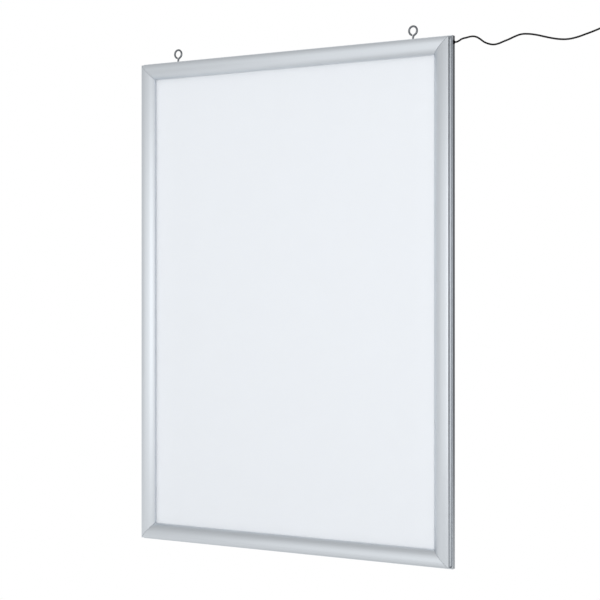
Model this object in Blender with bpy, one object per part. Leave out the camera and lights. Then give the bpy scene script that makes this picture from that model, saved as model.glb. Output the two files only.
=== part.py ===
"""Illuminated snap frame: an edge-lit poster frame whose four rails hinge open.

World frame: X across the frame, the front toward -Y, +Z up, in metres. The origin lies
midway between the centres of the two hanging eyes.

Sections are drawn in (u, v). u runs inward from the outermost face of the base, and v runs
forward from the back plane. All four sides are the same section, turned about Y, so a
side's own axes are +X along it, -Y forward and +Z inward.
"""
import bmesh
import bpy
from math import acos, asin, cos, degrees, hypot, pi, radians, sin, sqrt
from mathutils import Matrix, Vector

# Poster and the strip of it that every rail covers
POSTER_WIDTH = 0.594
POSTER_HEIGHT = 0.841
POSTER_OVERLAP = 0.009

# Gaps and cutters
CLEARANCE = 0.0003
MITRE_GAP = 0.0003
OVERRUN = 0.002

# Hinged rail
RAIL_WIDTH = 0.028
RAIL_WALL = 0.0014
RAIL_OUTER_DROP = 0.0032
RAIL_INNER_DROP = 0.0075
RAIL_OUTER_FILLET = 0.0008
RAIL_INNER_FILLET = 0.0006
RAIL_TOE = 0.0033
RAIL_TOE_HEIGHT = 0.0011
FRAME_DEPTH = 0.0227
BEAD_RADIUS = 0.0019
BEAD_SETBACK = 0.0024

# Base profile
HINGE_HEIGHT = 0.010
SOCKET_WALL = 0.0013
BASE_FLOOR = 0.0015
BASE_WALL = 0.0014
BASE_FLANGE = 0.027
SLOT_WIDTH = 0.0146
INNER_WALL = 0.0012
INNER_WALL_RISE = 0.0007
SLOT_LIP = 0.0014
SLOT_LIP_HEIGHT = 0.001

# Stack of sheets, from the back
BACK_PANEL_THICKNESS = 0.002
REFLECTOR_THICKNESS = 0.0004
GUIDE_THICKNESS = 0.003
DIFFUSER_THICKNESS = 0.0015
POSTER_SPACE = 0.0007
COVER_THICKNESS = 0.001
SHEET_CORNER = 0.002

# Edge lighting
BOARD_THICKNESS = 0.001
BOARD_WIDTH = 0.008
BOARD_END_MARGIN = 0.012
CHIP_HEIGHT = 0.001
CHIP_WIDTH = 0.0028
CHIP_LENGTH = 0.0035
CHIP_PITCH = 0.024
CHIP_GUIDE_GAP = 0.0005
LEAD_RADIUS = 0.0006
LEAD_BEND = 0.004

# Leaf springs under the rails
SPRING_THICKNESS = 0.0005
SPRING_LENGTH = 0.022
SPRING_REACH = 0.01025
SPRING_RIB = 0.001
SPRING_RIB_DEPTH = 0.0019
SPRINGS_ACROSS = 2
SPRINGS_UPRIGHT = 3
SPRING_HANG_SHARE = 0.45
SPRING_SWEEP_SHARE = 0.4

# Corner keys and their grub screws
KEY_LEG = 0.045
KEY_CHAMFER = 0.022
KEY_EDGE = 0.0004
SCREW_RADIUS = 0.002
SCREW_SOCKET_RADIUS = 0.001
SCREW_SOCKET_DEPTH = 0.002
SCREW_FIRST = 0.032

# Hanging eyes
EYE_INSET = 0.0758
EYE_WIRE = 0.0034
EYE_THREAD = 0.0028
EYE_RADIUS = 0.0075
EYE_HEIGHT = 0.0145
EYE_SHANK = 0.0062
EYE_NECK_SHARE = 1.45
EYE_HANDLE_SHARE = 0.9
EYE_JOIN_TURN = radians(30)
EYE_STOP_TURN = radians(15)
NUT_LENGTH = 0.014
NUT_THICKNESS = 0.0035
NUT_CORNER = 0.0008

# Cord, its grommet, coil, tie and plug
CORD_DIAMETER = 0.003
GROMMET_DROP = 0.0111
GROMMET_RADIUS = 0.0035
GROMMET_FLANGE = 0.001
GROMMET_NOSE = 0.0005
GROMMET_NECK_RADIUS = 0.0022
COIL_CENTRE = (0.6198, 0.0, -0.080)
COIL_OUTER_RADIUS = 0.0227
COIL_TURN_PITCH = 0.00335
COIL_LAYER_PITCH = 0.0034
COIL_TAIL = 0.040
COIL_LAYERS = 4
TURNS_PER_LAYER = 3.25
COIL_CLIMB_TURNS = 0.5
POINTS_PER_TURN = 24
TIE_WIDTH = 0.006
TIE_THICKNESS = 0.0012
PLUG_LENGTH = 0.026
PLUG_RADIUS = 0.0048
PLUG_NECK_RADIUS = 0.0022
PLUG_NECK_LENGTH = 0.011
PLUG_GROOVE = 0.0006
PLUG_RIB = 0.0016
PLUG_SOCKET_DEPTH = 0.002
PLUG_TAPER_SHARE = 0.5
BARREL_RADIUS = 0.00275
BARREL_WALL = 0.0004
BARREL_LENGTH = 0.0095
CONTACT_RADIUS = 0.00105

# Route of the cord's free stretch as (x, z), from the grommet to the top of the coil
CORD_ROUTE = (
    (0.3206, -0.0256),
    (0.3240, -0.0256),
    (0.3285, -0.0240),
    (0.3335, -0.0215),
    (0.3405, -0.0203),
    (0.3527, -0.0190),
    (0.3595, -0.0205),
    (0.3656, -0.0240),
    (0.3740, -0.0302),
    (0.3826, -0.0340),
    (0.3903, -0.0356),
    (0.3979, -0.0350),
    (0.4081, -0.0321),
    (0.4182, -0.0291),
    (0.4299, -0.0251),
    (0.4391, -0.0231),
    (0.4515, -0.0237),
    (0.4648, -0.0263),
    (0.4795, -0.0305),
    (0.4942, -0.0345),
    (0.5105, -0.0374),
    (0.5218, -0.0377),
    (0.5345, -0.0360),
    (0.5488, -0.0325),
    (0.5616, -0.0290),
    (0.5723, -0.0257),
    (0.5860, -0.0208),
    (0.6010, -0.0172),
    (0.6160, -0.0170),
    (0.6290, -0.0228),
    (0.6382, -0.0350),
    (0.6420, -0.0510),
    (0.6425, -0.0650),
)

# Route of the supply lead at the top right corner: in from the right, down from the top, v
SUPPLY_LEAD_ROUTE = (
    (0.0024, 0.0111, 0.0040),
    (0.0045, 0.0111, 0.0041),
    (0.0070, 0.0116, 0.0054),
    (0.0082, 0.0128, 0.0076),
    (0.0100, 0.0160, 0.0096),
    (0.0125, 0.0205, 0.0116),
    (0.0156, 0.0240, 0.0126),
    (0.0178, 0.0265, 0.0124),
    (0.0182, 0.0282, 0.0108),
    (0.0181, 0.0300, 0.0092),
    (0.0181, 0.0316, 0.0083),
)

# Smoothness of round stretches
BEAD_STEPS = 12
CROWN_STEPS = 14
FILLET_STEPS = 3
ROUND_SIDES = 24
SMALL_SIDES = 12
LEAD_SIDES_RESOLUTION = 1
CORD_SIDES_RESOLUTION = 2
COIL_SIDES_RESOLUTION = 1
SHARP_ANGLE = radians(35)

# Socket and bead
SOCKET_BORE = BEAD_RADIUS + CLEARANCE
SOCKET_RADIUS = SOCKET_BORE + SOCKET_WALL
HINGE_U = SOCKET_RADIUS
HALF_NECK = RAIL_WALL / 2
NECK_ROOM = HALF_NECK + CLEARANCE
INNER_LIP_ANGLE = acos(NECK_ROOM / SOCKET_BORE)
OUTER_LIP_ANGLE = pi + asin(NECK_ROOM / SOCKET_BORE)

# Overall sizes
RAIL_FACE_U = HINGE_U - HALF_NECK
WINDOW_EDGE_U = RAIL_FACE_U + RAIL_WIDTH
SPRING_U = HINGE_U + SPRING_REACH
RIB_OFFSET = SPRING_THICKNESS / 2 + CLEARANCE + SPRING_RIB / 2
HALF_WIDTH = POSTER_WIDTH / 2 - POSTER_OVERLAP + WINDOW_EDGE_U
HALF_HEIGHT = POSTER_HEIGHT / 2 - POSTER_OVERLAP + WINDOW_EDGE_U
TOP_Z = -EYE_HEIGHT
CENTRE_Z = TOP_Z - HALF_HEIGHT
EYE_X = HALF_WIDTH - EYE_INSET

# T-slot of the base
SLOT_INNER_U = BASE_WALL + SLOT_WIDTH
SLOT_TOP_V = HINGE_HEIGHT - SOCKET_RADIUS
SLOT_CENTRE_V = (BASE_FLOOR + SLOT_TOP_V) / 2
BACK_Y = SLOT_CENTRE_V
CHANNEL_U = SLOT_INNER_U + INNER_WALL

# Levels of the sheets
PANEL_V = BASE_FLOOR + CLEARANCE
REFLECTOR_V = PANEL_V + BACK_PANEL_THICKNESS + CLEARANCE
GUIDE_V = REFLECTOR_V + REFLECTOR_THICKNESS + CLEARANCE
DIFFUSER_V = GUIDE_V + GUIDE_THICKNESS + CLEARANCE
COVER_V = DIFFUSER_V + DIFFUSER_THICKNESS + POSTER_SPACE
COVER_TOP_V = COVER_V + COVER_THICKNESS
LIGHT_V = GUIDE_V + GUIDE_THICKNESS / 2
WALL_TOP_V = LIGHT_V + BOARD_WIDTH / 2 + INNER_WALL_RISE

# Edges of the sheets, measured in from the outermost face
BOARD_U = CHANNEL_U + CLEARANCE
CHIP_U = BOARD_U + BOARD_THICKNESS
GUIDE_U = CHIP_U + CHIP_HEIGHT + CHIP_GUIDE_GAP
PANEL_U = BOARD_U + BOARD_THICKNESS + CHIP_GUIDE_GAP
POSTER_U = WINDOW_EDGE_U - POSTER_OVERLAP
BOARD_HALF_LENGTH = HALF_HEIGHT - GUIDE_U - BOARD_END_MARGIN

# Crown arc of the rail: through both shoulders, with its top on the frame's front plane
DROP_RATIO = RAIL_WIDTH / (RAIL_INNER_DROP - RAIL_OUTER_DROP)
CROWN_INSET = sqrt(RAIL_OUTER_DROP * RAIL_INNER_DROP * (1 + DROP_RATIO ** 2)) - RAIL_OUTER_DROP * DROP_RATIO
CROWN_RADIUS = (CROWN_INSET ** 2 + RAIL_OUTER_DROP ** 2) / (2 * RAIL_OUTER_DROP)
CROWN_U = RAIL_FACE_U + CROWN_INSET
CROWN_V = FRAME_DEPTH - CROWN_RADIUS
FOOT_V = COVER_TOP_V + CLEARANCE

# Turn about Y of every side, its half length and its distance from the frame's centre
SIDES = {
    "top": (pi, HALF_WIDTH, HALF_HEIGHT),
    "bottom": (0, HALF_WIDTH, HALF_HEIGHT),
    "left": (pi / 2, HALF_HEIGHT, HALF_WIDTH),
    "right": (-pi / 2, HALF_HEIGHT, HALF_WIDTH),
}

# Turn about Y of every corner, from the one at the bottom left
CORNERS = {"bottom_left": 0, "top_left": pi / 2, "top_right": pi, "bottom_right": -pi / 2}

# Colour, roughness and metallic value of every finish
FINISHES = {
    "anodised_aluminium": ((0.62, 0.66, 0.71), 0.38, 1.0),
    "spring_steel": ((0.36, 0.38, 0.42), 0.35, 1.0),
    "cast_zinc": ((0.45, 0.46, 0.48), 0.5, 1.0),
    "zinc_plated_steel": ((0.60, 0.62, 0.63), 0.22, 1.0),
    "blackened_steel": ((0.03, 0.03, 0.03), 0.45, 1.0),
    "back_sheet": ((0.80, 0.80, 0.79), 0.6, 0.0),
    "reflector_film": ((0.90, 0.90, 0.90), 0.5, 0.0),
    "clear_acrylic": ((0.86, 0.91, 0.92), 0.08, 0.0),
    "opal_acrylic": ((0.84, 0.86, 0.89), 0.45, 0.0),
    "clear_sheet": ((0.85, 0.87, 0.90), 0.18, 0.0),
    "circuit_board": ((0.82, 0.83, 0.82), 0.5, 0.0),
    "white_insulation": ((0.80, 0.80, 0.80), 0.5, 0.0),
    "black_pvc": ((0.012, 0.012, 0.013), 0.42, 0.0),
    "black_rubber": ((0.015, 0.015, 0.016), 0.6, 0.0),
    "nickel_plate": ((0.66, 0.64, 0.60), 0.2, 1.0),
}


def clear_scene():
    """Remove whatever the scene holds."""
    for item in list(bpy.data.objects):
        bpy.data.objects.remove(item, do_unlink=True)


def finish(name, kind):
    """A piece's own material in one of the finishes."""
    colour, roughness, metallic = FINISHES[kind]
    material = bpy.data.materials.new(name + "_" + kind)
    material.use_nodes = True
    material.diffuse_color = (*colour, 1)
    shader = material.node_tree.nodes["Principled BSDF"]
    shader.inputs["Base Color"].default_value = (*colour, 1)
    shader.inputs["Roughness"].default_value = roughness
    shader.inputs["Metallic"].default_value = metallic
    return material


def add_piece(name, data, kind):
    """Link one named piece with its own finish."""
    piece = bpy.data.objects.new(name, data)
    bpy.context.collection.objects.link(piece)
    if kind:
        data.materials.clear()
        data.materials.append(finish(name, kind))
    return piece


def mesh_from(name, bm, smooth=False):
    """Turn a closed bmesh into a mesh whose faces point out."""
    bmesh.ops.recalc_face_normals(bm, faces=bm.faces)
    mesh = bpy.data.meshes.new(name)
    bm.to_mesh(mesh)
    bm.free()
    if smooth:
        mesh.shade_smooth()
        mesh.set_sharp_from_angle(angle=SHARP_ANGLE)
    return mesh


def place_on_side(piece, side, u=0.0, v=0.0):
    """Put a piece's origin at mid-length of a side, at the section point (u, v)."""
    turn, _, distance = SIDES[side]
    inset = Matrix.Rotation(turn, 3, "Y") @ Vector((0, BACK_Y - v, u - distance))
    piece.rotation_euler = (0, turn, 0)
    piece.location = inset + Vector((0, 0, CENTRE_Z))


def arc(centre, radius, start, end, steps):
    """Points on an arc, with both ends."""
    turns = [start + (end - start) * i / steps for i in range(steps + 1)]
    return [(centre[0] + radius * cos(a), centre[1] + radius * sin(a)) for a in turns]


def fillet(before, corner, after, radius):
    """Points that round a corner between two straight stretches."""
    into = (Vector(corner) - Vector(before)).normalized()
    out = (Vector(after) - Vector(corner)).normalized()
    bend = into.angle(out)
    reach = radius * sin(bend / 2) / cos(bend / 2)
    start = Vector(corner) - into * reach
    end = Vector(corner) + out * reach
    inward = (out - into).normalized()
    centre = Vector(corner) + inward * hypot(radius, reach)
    spokes = [(start - centre).slerp(end - centre, i / FILLET_STEPS) for i in range(FILLET_STEPS + 1)]
    return [tuple(centre + spoke.normalized() * radius) for spoke in spokes]


def bezier(points, steps):
    """Points on a cubic curve through its first and last control points."""
    a, b, c, d = (Vector(p) for p in points)
    found = []
    for i in range(steps + 1):
        t = i / steps
        r = 1 - t
        found.append(a * r ** 3 + b * 3 * r * r * t + c * 3 * r * t * t + d * t ** 3)
    return found


def smooth_route(points, spacing):
    """Evenly spaced points on a smooth curve through the given ones."""
    knots = [Vector(p) for p in points]
    knots = [knots[0] * 2 - knots[1], *knots, knots[-1] * 2 - knots[-2]]
    fine = []
    samples = POINTS_PER_TURN
    for a, b, c, d in zip(knots, knots[1:], knots[2:], knots[3:]):
        for i in range(samples):
            t = i / samples
            bend = a * 2 - b * 5 + c * 4 - d
            twist = b * 3 - a - c * 3 + d
            fine.append((b * 2 + (c - a) * t + bend * t * t + twist * t ** 3) / 2)
    fine.append(knots[-2])
    lengths = [0]
    for near, far in zip(fine, fine[1:]):
        lengths.append(lengths[-1] + (far - near).length)
    count = max(2, round(lengths[-1] / spacing))
    route = []
    index = 0
    for i in range(count + 1):
        wanted = lengths[-1] * i / count
        while index < len(fine) - 2 and lengths[index + 1] < wanted:
            index += 1
        share = (wanted - lengths[index]) / (lengths[index + 1] - lengths[index])
        route.append(fine[index].lerp(fine[index + 1], share))
    return route


def tube(name, points, radius, resolution, kind, radii=()):
    """Round tube with filled ends along a list of points; radii are those of its first points."""
    curve = bpy.data.curves.new(name, "CURVE")
    curve.dimensions = "3D"
    curve.bevel_depth = radius
    curve.bevel_resolution = resolution
    curve.use_fill_caps = True
    spline = curve.splines.new("POLY")
    spline.points.add(len(points) - 1)
    for knot, point in zip(spline.points, points):
        knot.co = (*point, 1)
    for knot, own_radius in zip(spline.points, radii):
        knot.radius = own_radius / radius
    return add_piece(name, curve, kind)


def plate(name, outlines, thickness, kind, edge=0.0):
    """Flat plate from an outline and its holes; it spreads in X and Y and is thick along Z."""
    curve = bpy.data.curves.new(name, "CURVE")
    curve.dimensions = "2D"
    curve.fill_mode = "BOTH"
    curve.extrude = thickness / 2 - edge
    curve.bevel_depth = edge
    curve.offset = -edge
    curve.bevel_resolution = 0
    for outline in outlines:
        spline = curve.splines.new("POLY")
        spline.points.add(len(outline) - 1)
        spline.use_cyclic_u = True
        for knot, point in zip(spline.points, outline):
            knot.co = (*point, 0, 1)
    return add_piece(name, curve, kind)


def block_into(bm, size, centre):
    """Add a box to a bmesh."""
    made = bmesh.ops.create_cube(bm, size=1)
    bmesh.ops.scale(bm, vec=size, verts=made["verts"])
    bmesh.ops.translate(bm, vec=centre, verts=made["verts"])


def turned(name, profile, sides, kind):
    """Piece turned about its own Z axis from (radius, z) points; points on the axis close it."""
    bm = bmesh.new()
    ring = [bm.verts.new((r, 0, z)) for r, z in profile]
    pairs = list(zip(ring, ring[1:]))
    if all(r > 0 for r, _ in profile):
        pairs.append((ring[-1], ring[0]))
    edges = [bm.edges.new(pair) for pair in pairs]
    bmesh.ops.spin(
        bm, geom=ring + edges, cent=(0, 0, 0), axis=(0, 0, 1), dvec=(0, 0, 0),
        angle=2 * pi, steps=sides, use_merge=True,
    )
    bmesh.ops.remove_doubles(bm, verts=bm.verts, dist=CLEARANCE / ROUND_SIDES)
    return add_piece(name, mesh_from(name, bm, smooth=True), kind)


def mitred_bar(name, outline, half_length, origin=(0, 0)):
    """Extrude a section outline along a side and cut both ends at 45 degrees."""
    bm = bmesh.new()
    face = bm.faces.new([bm.verts.new((0, origin[1] - v, u - origin[0])) for u, v in outline])
    grown = bmesh.ops.extrude_face_region(bm, geom=[face])
    far_end = {item for item in grown["geom"] if isinstance(item, bmesh.types.BMVert)}
    for vert in bm.verts:
        reach = half_length - (vert.co.z + origin[0]) - MITRE_GAP / sqrt(2)
        vert.co.x = reach if vert in far_end else -reach
    return mesh_from(name, bm, smooth=True)


def straight_bar(name, outline, length):
    """Extrude a closed outline, drawn in (u, v) about the origin, evenly both ways along a side."""
    bm = bmesh.new()
    face = bm.faces.new([bm.verts.new((-length / 2, -v, u)) for u, v in outline])
    grown = bmesh.ops.extrude_face_region(bm, geom=[face])
    moved = [item for item in grown["geom"] if isinstance(item, bmesh.types.BMVert)]
    bmesh.ops.translate(bm, vec=(length, 0, 0), verts=moved)
    return mesh_from(name, bm, smooth=True)


def cutter(name, bm):
    """Hidden wire shape that a Boolean takes away."""
    shape = add_piece(name, mesh_from(name, bm), None)
    shape.hide_render = True
    shape.display_type = "WIRE"
    return shape


def cut(piece, shape):
    """Take a cutter away from a piece."""
    boolean = piece.modifiers.new(shape.name, "BOOLEAN")
    boolean.operation = "DIFFERENCE"
    boolean.solver = "EXACT"
    boolean.object = shape


def join(piece, shape):
    """Join a hidden shape to a piece."""
    boolean = piece.modifiers.new(shape.name, "BOOLEAN")
    boolean.operation = "UNION"
    boolean.solver = "EXACT"
    boolean.object = shape


def crown_v(u, radius):
    """Height of the crown arc of a given radius above the section point u."""
    return CROWN_V + sqrt(radius ** 2 - (u - CROWN_U) ** 2)


def crown_points(start_u, end_u, radius, steps):
    """Points along the crown between two section widths."""
    start = acos((start_u - CROWN_U) / radius)
    end = acos((end_u - CROWN_U) / radius)
    return arc((CROWN_U, CROWN_V), radius, start, end, steps)


def base_outline():
    """Base profile: flange, T-slot, hinge socket and inner wall."""
    hinge = (HINGE_U, HINGE_HEIGHT)
    wall_meets = -acos((BASE_WALL - HINGE_U) / SOCKET_RADIUS)
    lip_v = HINGE_HEIGHT - NECK_ROOM
    slot_lip_u = SLOT_INNER_U - SLOT_LIP
    outline = [
        (0, 0),
        (BASE_FLANGE, 0),
        (BASE_FLANGE, BASE_FLOOR),
        (CHANNEL_U, BASE_FLOOR),
        (CHANNEL_U, WALL_TOP_V),
        (SLOT_INNER_U, WALL_TOP_V),
        (SLOT_INNER_U, SLOT_TOP_V + SLOT_LIP_HEIGHT),
        (slot_lip_u, SLOT_TOP_V + SLOT_LIP_HEIGHT),
        (slot_lip_u, SLOT_TOP_V),
        (SLOT_INNER_U, SLOT_TOP_V),
        (SLOT_INNER_U, BASE_FLOOR),
        (BASE_WALL, BASE_FLOOR),
    ]
    outline += arc(hinge, SOCKET_RADIUS, wall_meets, INNER_LIP_ANGLE, BEAD_STEPS)
    outline += arc(hinge, SOCKET_BORE, INNER_LIP_ANGLE, OUTER_LIP_ANGLE - 2 * pi, BEAD_STEPS)
    outline.append((0, lip_v))
    return outline


def spring_rib(centre_u, radius):
    """Small rib that hangs from the inside of the crown."""
    half = SPRING_RIB / 2
    foot_v = crown_v(SPRING_U, radius) - SPRING_RIB_DEPTH
    return [
        (centre_u - half, crown_v(centre_u - half, radius)),
        (centre_u - half, foot_v),
        (centre_u + half, foot_v),
        (centre_u + half, crown_v(centre_u + half, radius)),
    ]


def rail_outline():
    """Snap rail: hinge bead, skirt, arched crown with two spring ribs, lip and inturned toe."""
    hinge = (HINGE_U, HINGE_HEIGHT)
    neck = acos(HALF_NECK / BEAD_RADIUS)
    inner_radius = CROWN_RADIUS - RAIL_WALL
    skirt_inside = HINGE_U + HALF_NECK
    lip_inside = WINDOW_EDGE_U - RAIL_WALL
    first_rib = SPRING_U - RIB_OFFSET
    second_rib = SPRING_U + RIB_OFFSET
    half_steps = CROWN_STEPS // 2
    toe_v = FOOT_V + RAIL_TOE_HEIGHT
    outline = arc(hinge, BEAD_RADIUS, pi - neck, 2 * pi + neck, BEAD_STEPS)
    outline += crown_points(skirt_inside, first_rib - SPRING_RIB / 2, inner_radius, half_steps)[:-1]
    outline += spring_rib(first_rib, inner_radius)
    outline += spring_rib(second_rib, inner_radius)
    outline += crown_points(second_rib + SPRING_RIB / 2, lip_inside, inner_radius, half_steps)[1:]
    outline += [
        (lip_inside, toe_v),
        (WINDOW_EDGE_U - RAIL_TOE, toe_v),
        (WINDOW_EDGE_U - RAIL_TOE, FOOT_V),
        (WINDOW_EDGE_U, FOOT_V),
    ]
    crown = crown_points(WINDOW_EDGE_U, RAIL_FACE_U, CROWN_RADIUS, CROWN_STEPS)
    outline += fillet((WINDOW_EDGE_U, FOOT_V), crown[0], crown[1], RAIL_INNER_FILLET)
    outline += crown[1:-1]
    outline += fillet(crown[-2], crown[-1], (RAIL_FACE_U, HINGE_HEIGHT), RAIL_OUTER_FILLET)
    return outline


def bead_notches(name, half_length):
    """Boxes that end the bead short of the mitre, so that neighbouring rails can open."""
    bm = bmesh.new()
    inner_end = half_length - HINGE_U - BEAD_SETBACK
    outer_end = half_length + OVERRUN
    wide = BEAD_RADIUS + OVERRUN
    for side in (-1, 1):
        size = (outer_end - inner_end, SOCKET_BORE + wide, 2 * wide)
        centre = (side * (inner_end + outer_end) / 2, (wide - SOCKET_BORE) / 2, 0)
        block_into(bm, size, centre)
    return cutter(name, bm)


def spring_outline():
    """Bowed strip from the rail's rib groove to the lip of the hinge socket, about the hinge."""
    top = (SPRING_REACH, crown_v(SPRING_U, CROWN_RADIUS - RAIL_WALL) - CLEARANCE - HINGE_HEIGHT)
    toe_radius = SOCKET_RADIUS + CLEARANCE + SPRING_THICKNESS / 2
    toe = Vector((cos(INNER_LIP_ANGLE), sin(INNER_LIP_ANGLE))) * (toe_radius + CLEARANCE / 2)
    hang = Vector((top[0], top[1] - SPRING_REACH * SPRING_HANG_SHARE))
    sweep = Vector((toe.x + SPRING_REACH * SPRING_SWEEP_SHARE, toe.y))
    middle = bezier((top, hang, sweep, toe), CROWN_STEPS)
    sides = ([], [])
    for i, point in enumerate(middle):
        along = middle[min(i + 1, len(middle) - 1)] - middle[max(i - 1, 0)]
        across = Vector((along.y, -along.x)).normalized() * SPRING_THICKNESS / 2
        sides[0].append(tuple(point + across))
        sides[1].append(tuple(point - across))
    return sides[0] + sides[1][::-1]


def make_base(side):
    """Fixed base profile of one side."""
    name = f"base_{side}"
    mesh = mitred_bar(name, base_outline(), SIDES[side][1])
    base = add_piece(name, mesh, "anodised_aluminium")
    place_on_side(base, side)
    return base


def make_rail(side):
    """Hinged rail of one side, with its origin on the hinge axis."""
    name = f"{side}_rail"
    half_length = SIDES[side][1]
    mesh = mitred_bar(name, rail_outline(), half_length, origin=(HINGE_U, HINGE_HEIGHT))
    rail = add_piece(name, mesh, "anodised_aluminium")
    place_on_side(rail, side, HINGE_U, HINGE_HEIGHT)
    notches = bead_notches(name + "_notches", half_length)
    notches.parent = rail
    cut(rail, notches)
    return rail


def make_springs(side, rail, count):
    """Leaf springs that ride under one rail, numbered along the side."""
    outline = spring_outline()
    length = 2 * SIDES[side][1]
    for i in range(count):
        name = f"{side}_spring_{i + 1}"
        spring = add_piece(name, straight_bar(name, outline, SPRING_LENGTH), "spring_steel")
        spring.parent = rail
        spring.location = ((i + 0.5 - count / 2) * length / count, 0, 0)


def hole_ring(centre, radius, sides=ROUND_SIDES):
    """Outline of a round hole."""
    return arc(centre, radius, 0, 2 * pi, sides)[:-1]


def key_outline():
    """L of a corner key, with its outer corner cut off where the leads pass."""
    near = BASE_WALL + CLEARANCE
    far = SLOT_INNER_U - CLEARANCE
    return [
        (KEY_CHAMFER - near, near),
        (KEY_LEG, near),
        (KEY_LEG, far),
        (far, far),
        (far, KEY_LEG),
        (near, KEY_LEG),
        (near, KEY_CHAMFER - near),
    ]


def screw_places():
    """Centres of a corner key's two grub screws, reached through the mouth of the T-slot."""
    mouth = (HINGE_U + SOCKET_RADIUS + SLOT_INNER_U - SLOT_LIP) / 2
    return ((SCREW_FIRST, mouth), (mouth, SCREW_FIRST))


def corner_matrix(turn, v):
    """World place of a corner's own frame: X and Y along its two sides, Z forward."""
    reach_x = HALF_WIDTH if turn in (0, pi) else HALF_HEIGHT
    reach_z = HALF_HEIGHT if turn in (0, pi) else HALF_WIDTH
    corner = Matrix.Rotation(turn, 3, "Y") @ Vector((-reach_x, BACK_Y - v, -reach_z))
    place = Matrix.Translation(corner + Vector((0, 0, CENTRE_Z)))
    return place @ Matrix.Rotation(turn, 4, "Y") @ Matrix.Rotation(pi / 2, 4, "X")


def make_corner_keys():
    """Four cast keys that join the base profiles inside their T-slots."""
    thickness = SLOT_TOP_V - BASE_FLOOR - 2 * CLEARANCE
    holes = [hole_ring(place, SCREW_RADIUS + CLEARANCE, SMALL_SIDES) for place in screw_places()]
    for corner, turn in CORNERS.items():
        name = "corner_key_" + corner
        key = plate(name, [key_outline(), *holes], thickness, "cast_zinc", edge=KEY_EDGE)
        key.matrix_world = corner_matrix(turn, SLOT_CENTRE_V)


def make_key_screws():
    """Socket grub screws, one in each leg of every corner key."""
    top = (SLOT_TOP_V - BASE_FLOOR) / 2 - CLEARANCE
    profile = (
        (0, -top),
        (SCREW_RADIUS, -top),
        (SCREW_RADIUS, top),
        (SCREW_SOCKET_RADIUS, top),
        (SCREW_SOCKET_RADIUS, top - SCREW_SOCKET_DEPTH),
        (0, top - SCREW_SOCKET_DEPTH),
    )
    for corner, turn in CORNERS.items():
        for i, (x, y) in enumerate(screw_places()):
            screw = turned(f"key_screw_{corner}_{i + 1}", profile, SMALL_SIDES, "blackened_steel")
            screw.matrix_world = corner_matrix(turn, SLOT_CENTRE_V) @ Matrix.Translation((x, y, 0))


def make_sheet(name, edge_u, back_v, thickness, kind):
    """One rectangular sheet of the stack, with small round corners."""
    x = HALF_WIDTH - edge_u
    z = HALF_HEIGHT - edge_u
    r = SHEET_CORNER
    outline = []
    for i, (sx, sz) in enumerate(((1, 1), (-1, 1), (-1, -1), (1, -1))):
        centre = (sx * (x - r), sz * (z - r))
        outline += arc(centre, r, i * pi / 2, (i + 1) * pi / 2, FILLET_STEPS)
    sheet = plate(name, [outline], thickness, kind)
    sheet.rotation_euler = (pi / 2, 0, 0)
    sheet.location = (0, BACK_Y - back_v - thickness / 2, CENTRE_Z)


def make_led_strip(side):
    """Narrow circuit board on edge beside the light guide, with a row of chips soldered on it."""
    name = f"led_strip_{side}"
    board_bm = bmesh.new()
    block_into(board_bm, (2 * BOARD_HALF_LENGTH, BOARD_WIDTH, BOARD_THICKNESS), (0, 0, 0))
    board = add_piece(name, mesh_from(name, board_bm), "circuit_board")
    place_on_side(board, side, BOARD_U + BOARD_THICKNESS / 2, LIGHT_V)
    chip_bm = bmesh.new()
    count = int(2 * BOARD_HALF_LENGTH / CHIP_PITCH)
    size = (CHIP_LENGTH, CHIP_WIDTH, CHIP_HEIGHT + BOARD_THICKNESS / 2)
    for i in range(count):
        block_into(chip_bm, size, ((i + 0.5 - count / 2) * CHIP_PITCH, 0, size[2] / 2))
    chips = cutter(name + "_chips", chip_bm)
    chips.parent = board
    join(board, chips)


def make_supply_lead():
    """Lead from the grommet, over the corner key and the inner wall, to the right board."""
    points = [(HALF_WIDTH - a, BACK_Y - v, TOP_Z - b) for a, b, v in SUPPLY_LEAD_ROUTE]
    route = smooth_route(points, 2 * LEAD_RADIUS)
    tube("supply_lead", route, LEAD_RADIUS, LEAD_SIDES_RESOLUTION, "white_insulation")


def make_linking_lead():
    """Lead round the top of the light guide, from the right board to the left one."""
    inset = BOARD_U + LEAD_RADIUS
    x = HALF_WIDTH - inset - LEAD_BEND
    z = TOP_Z - inset - LEAD_BEND
    start_z = CENTRE_Z + BOARD_HALF_LENGTH + CLEARANCE
    y = BACK_Y - (GUIDE_V + LEAD_RADIUS)
    flat = [(x + LEAD_BEND, start_z)]
    flat += arc((x, z), LEAD_BEND, 0, pi / 2, SMALL_SIDES // 2)
    flat += arc((-x, z), LEAD_BEND, pi / 2, pi, SMALL_SIDES // 2)
    flat.append((-x - LEAD_BEND, start_z))
    route = [(px, y, pz) for px, pz in flat]
    tube("linking_lead", route, LEAD_RADIUS, LEAD_SIDES_RESOLUTION, "white_insulation")


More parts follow.
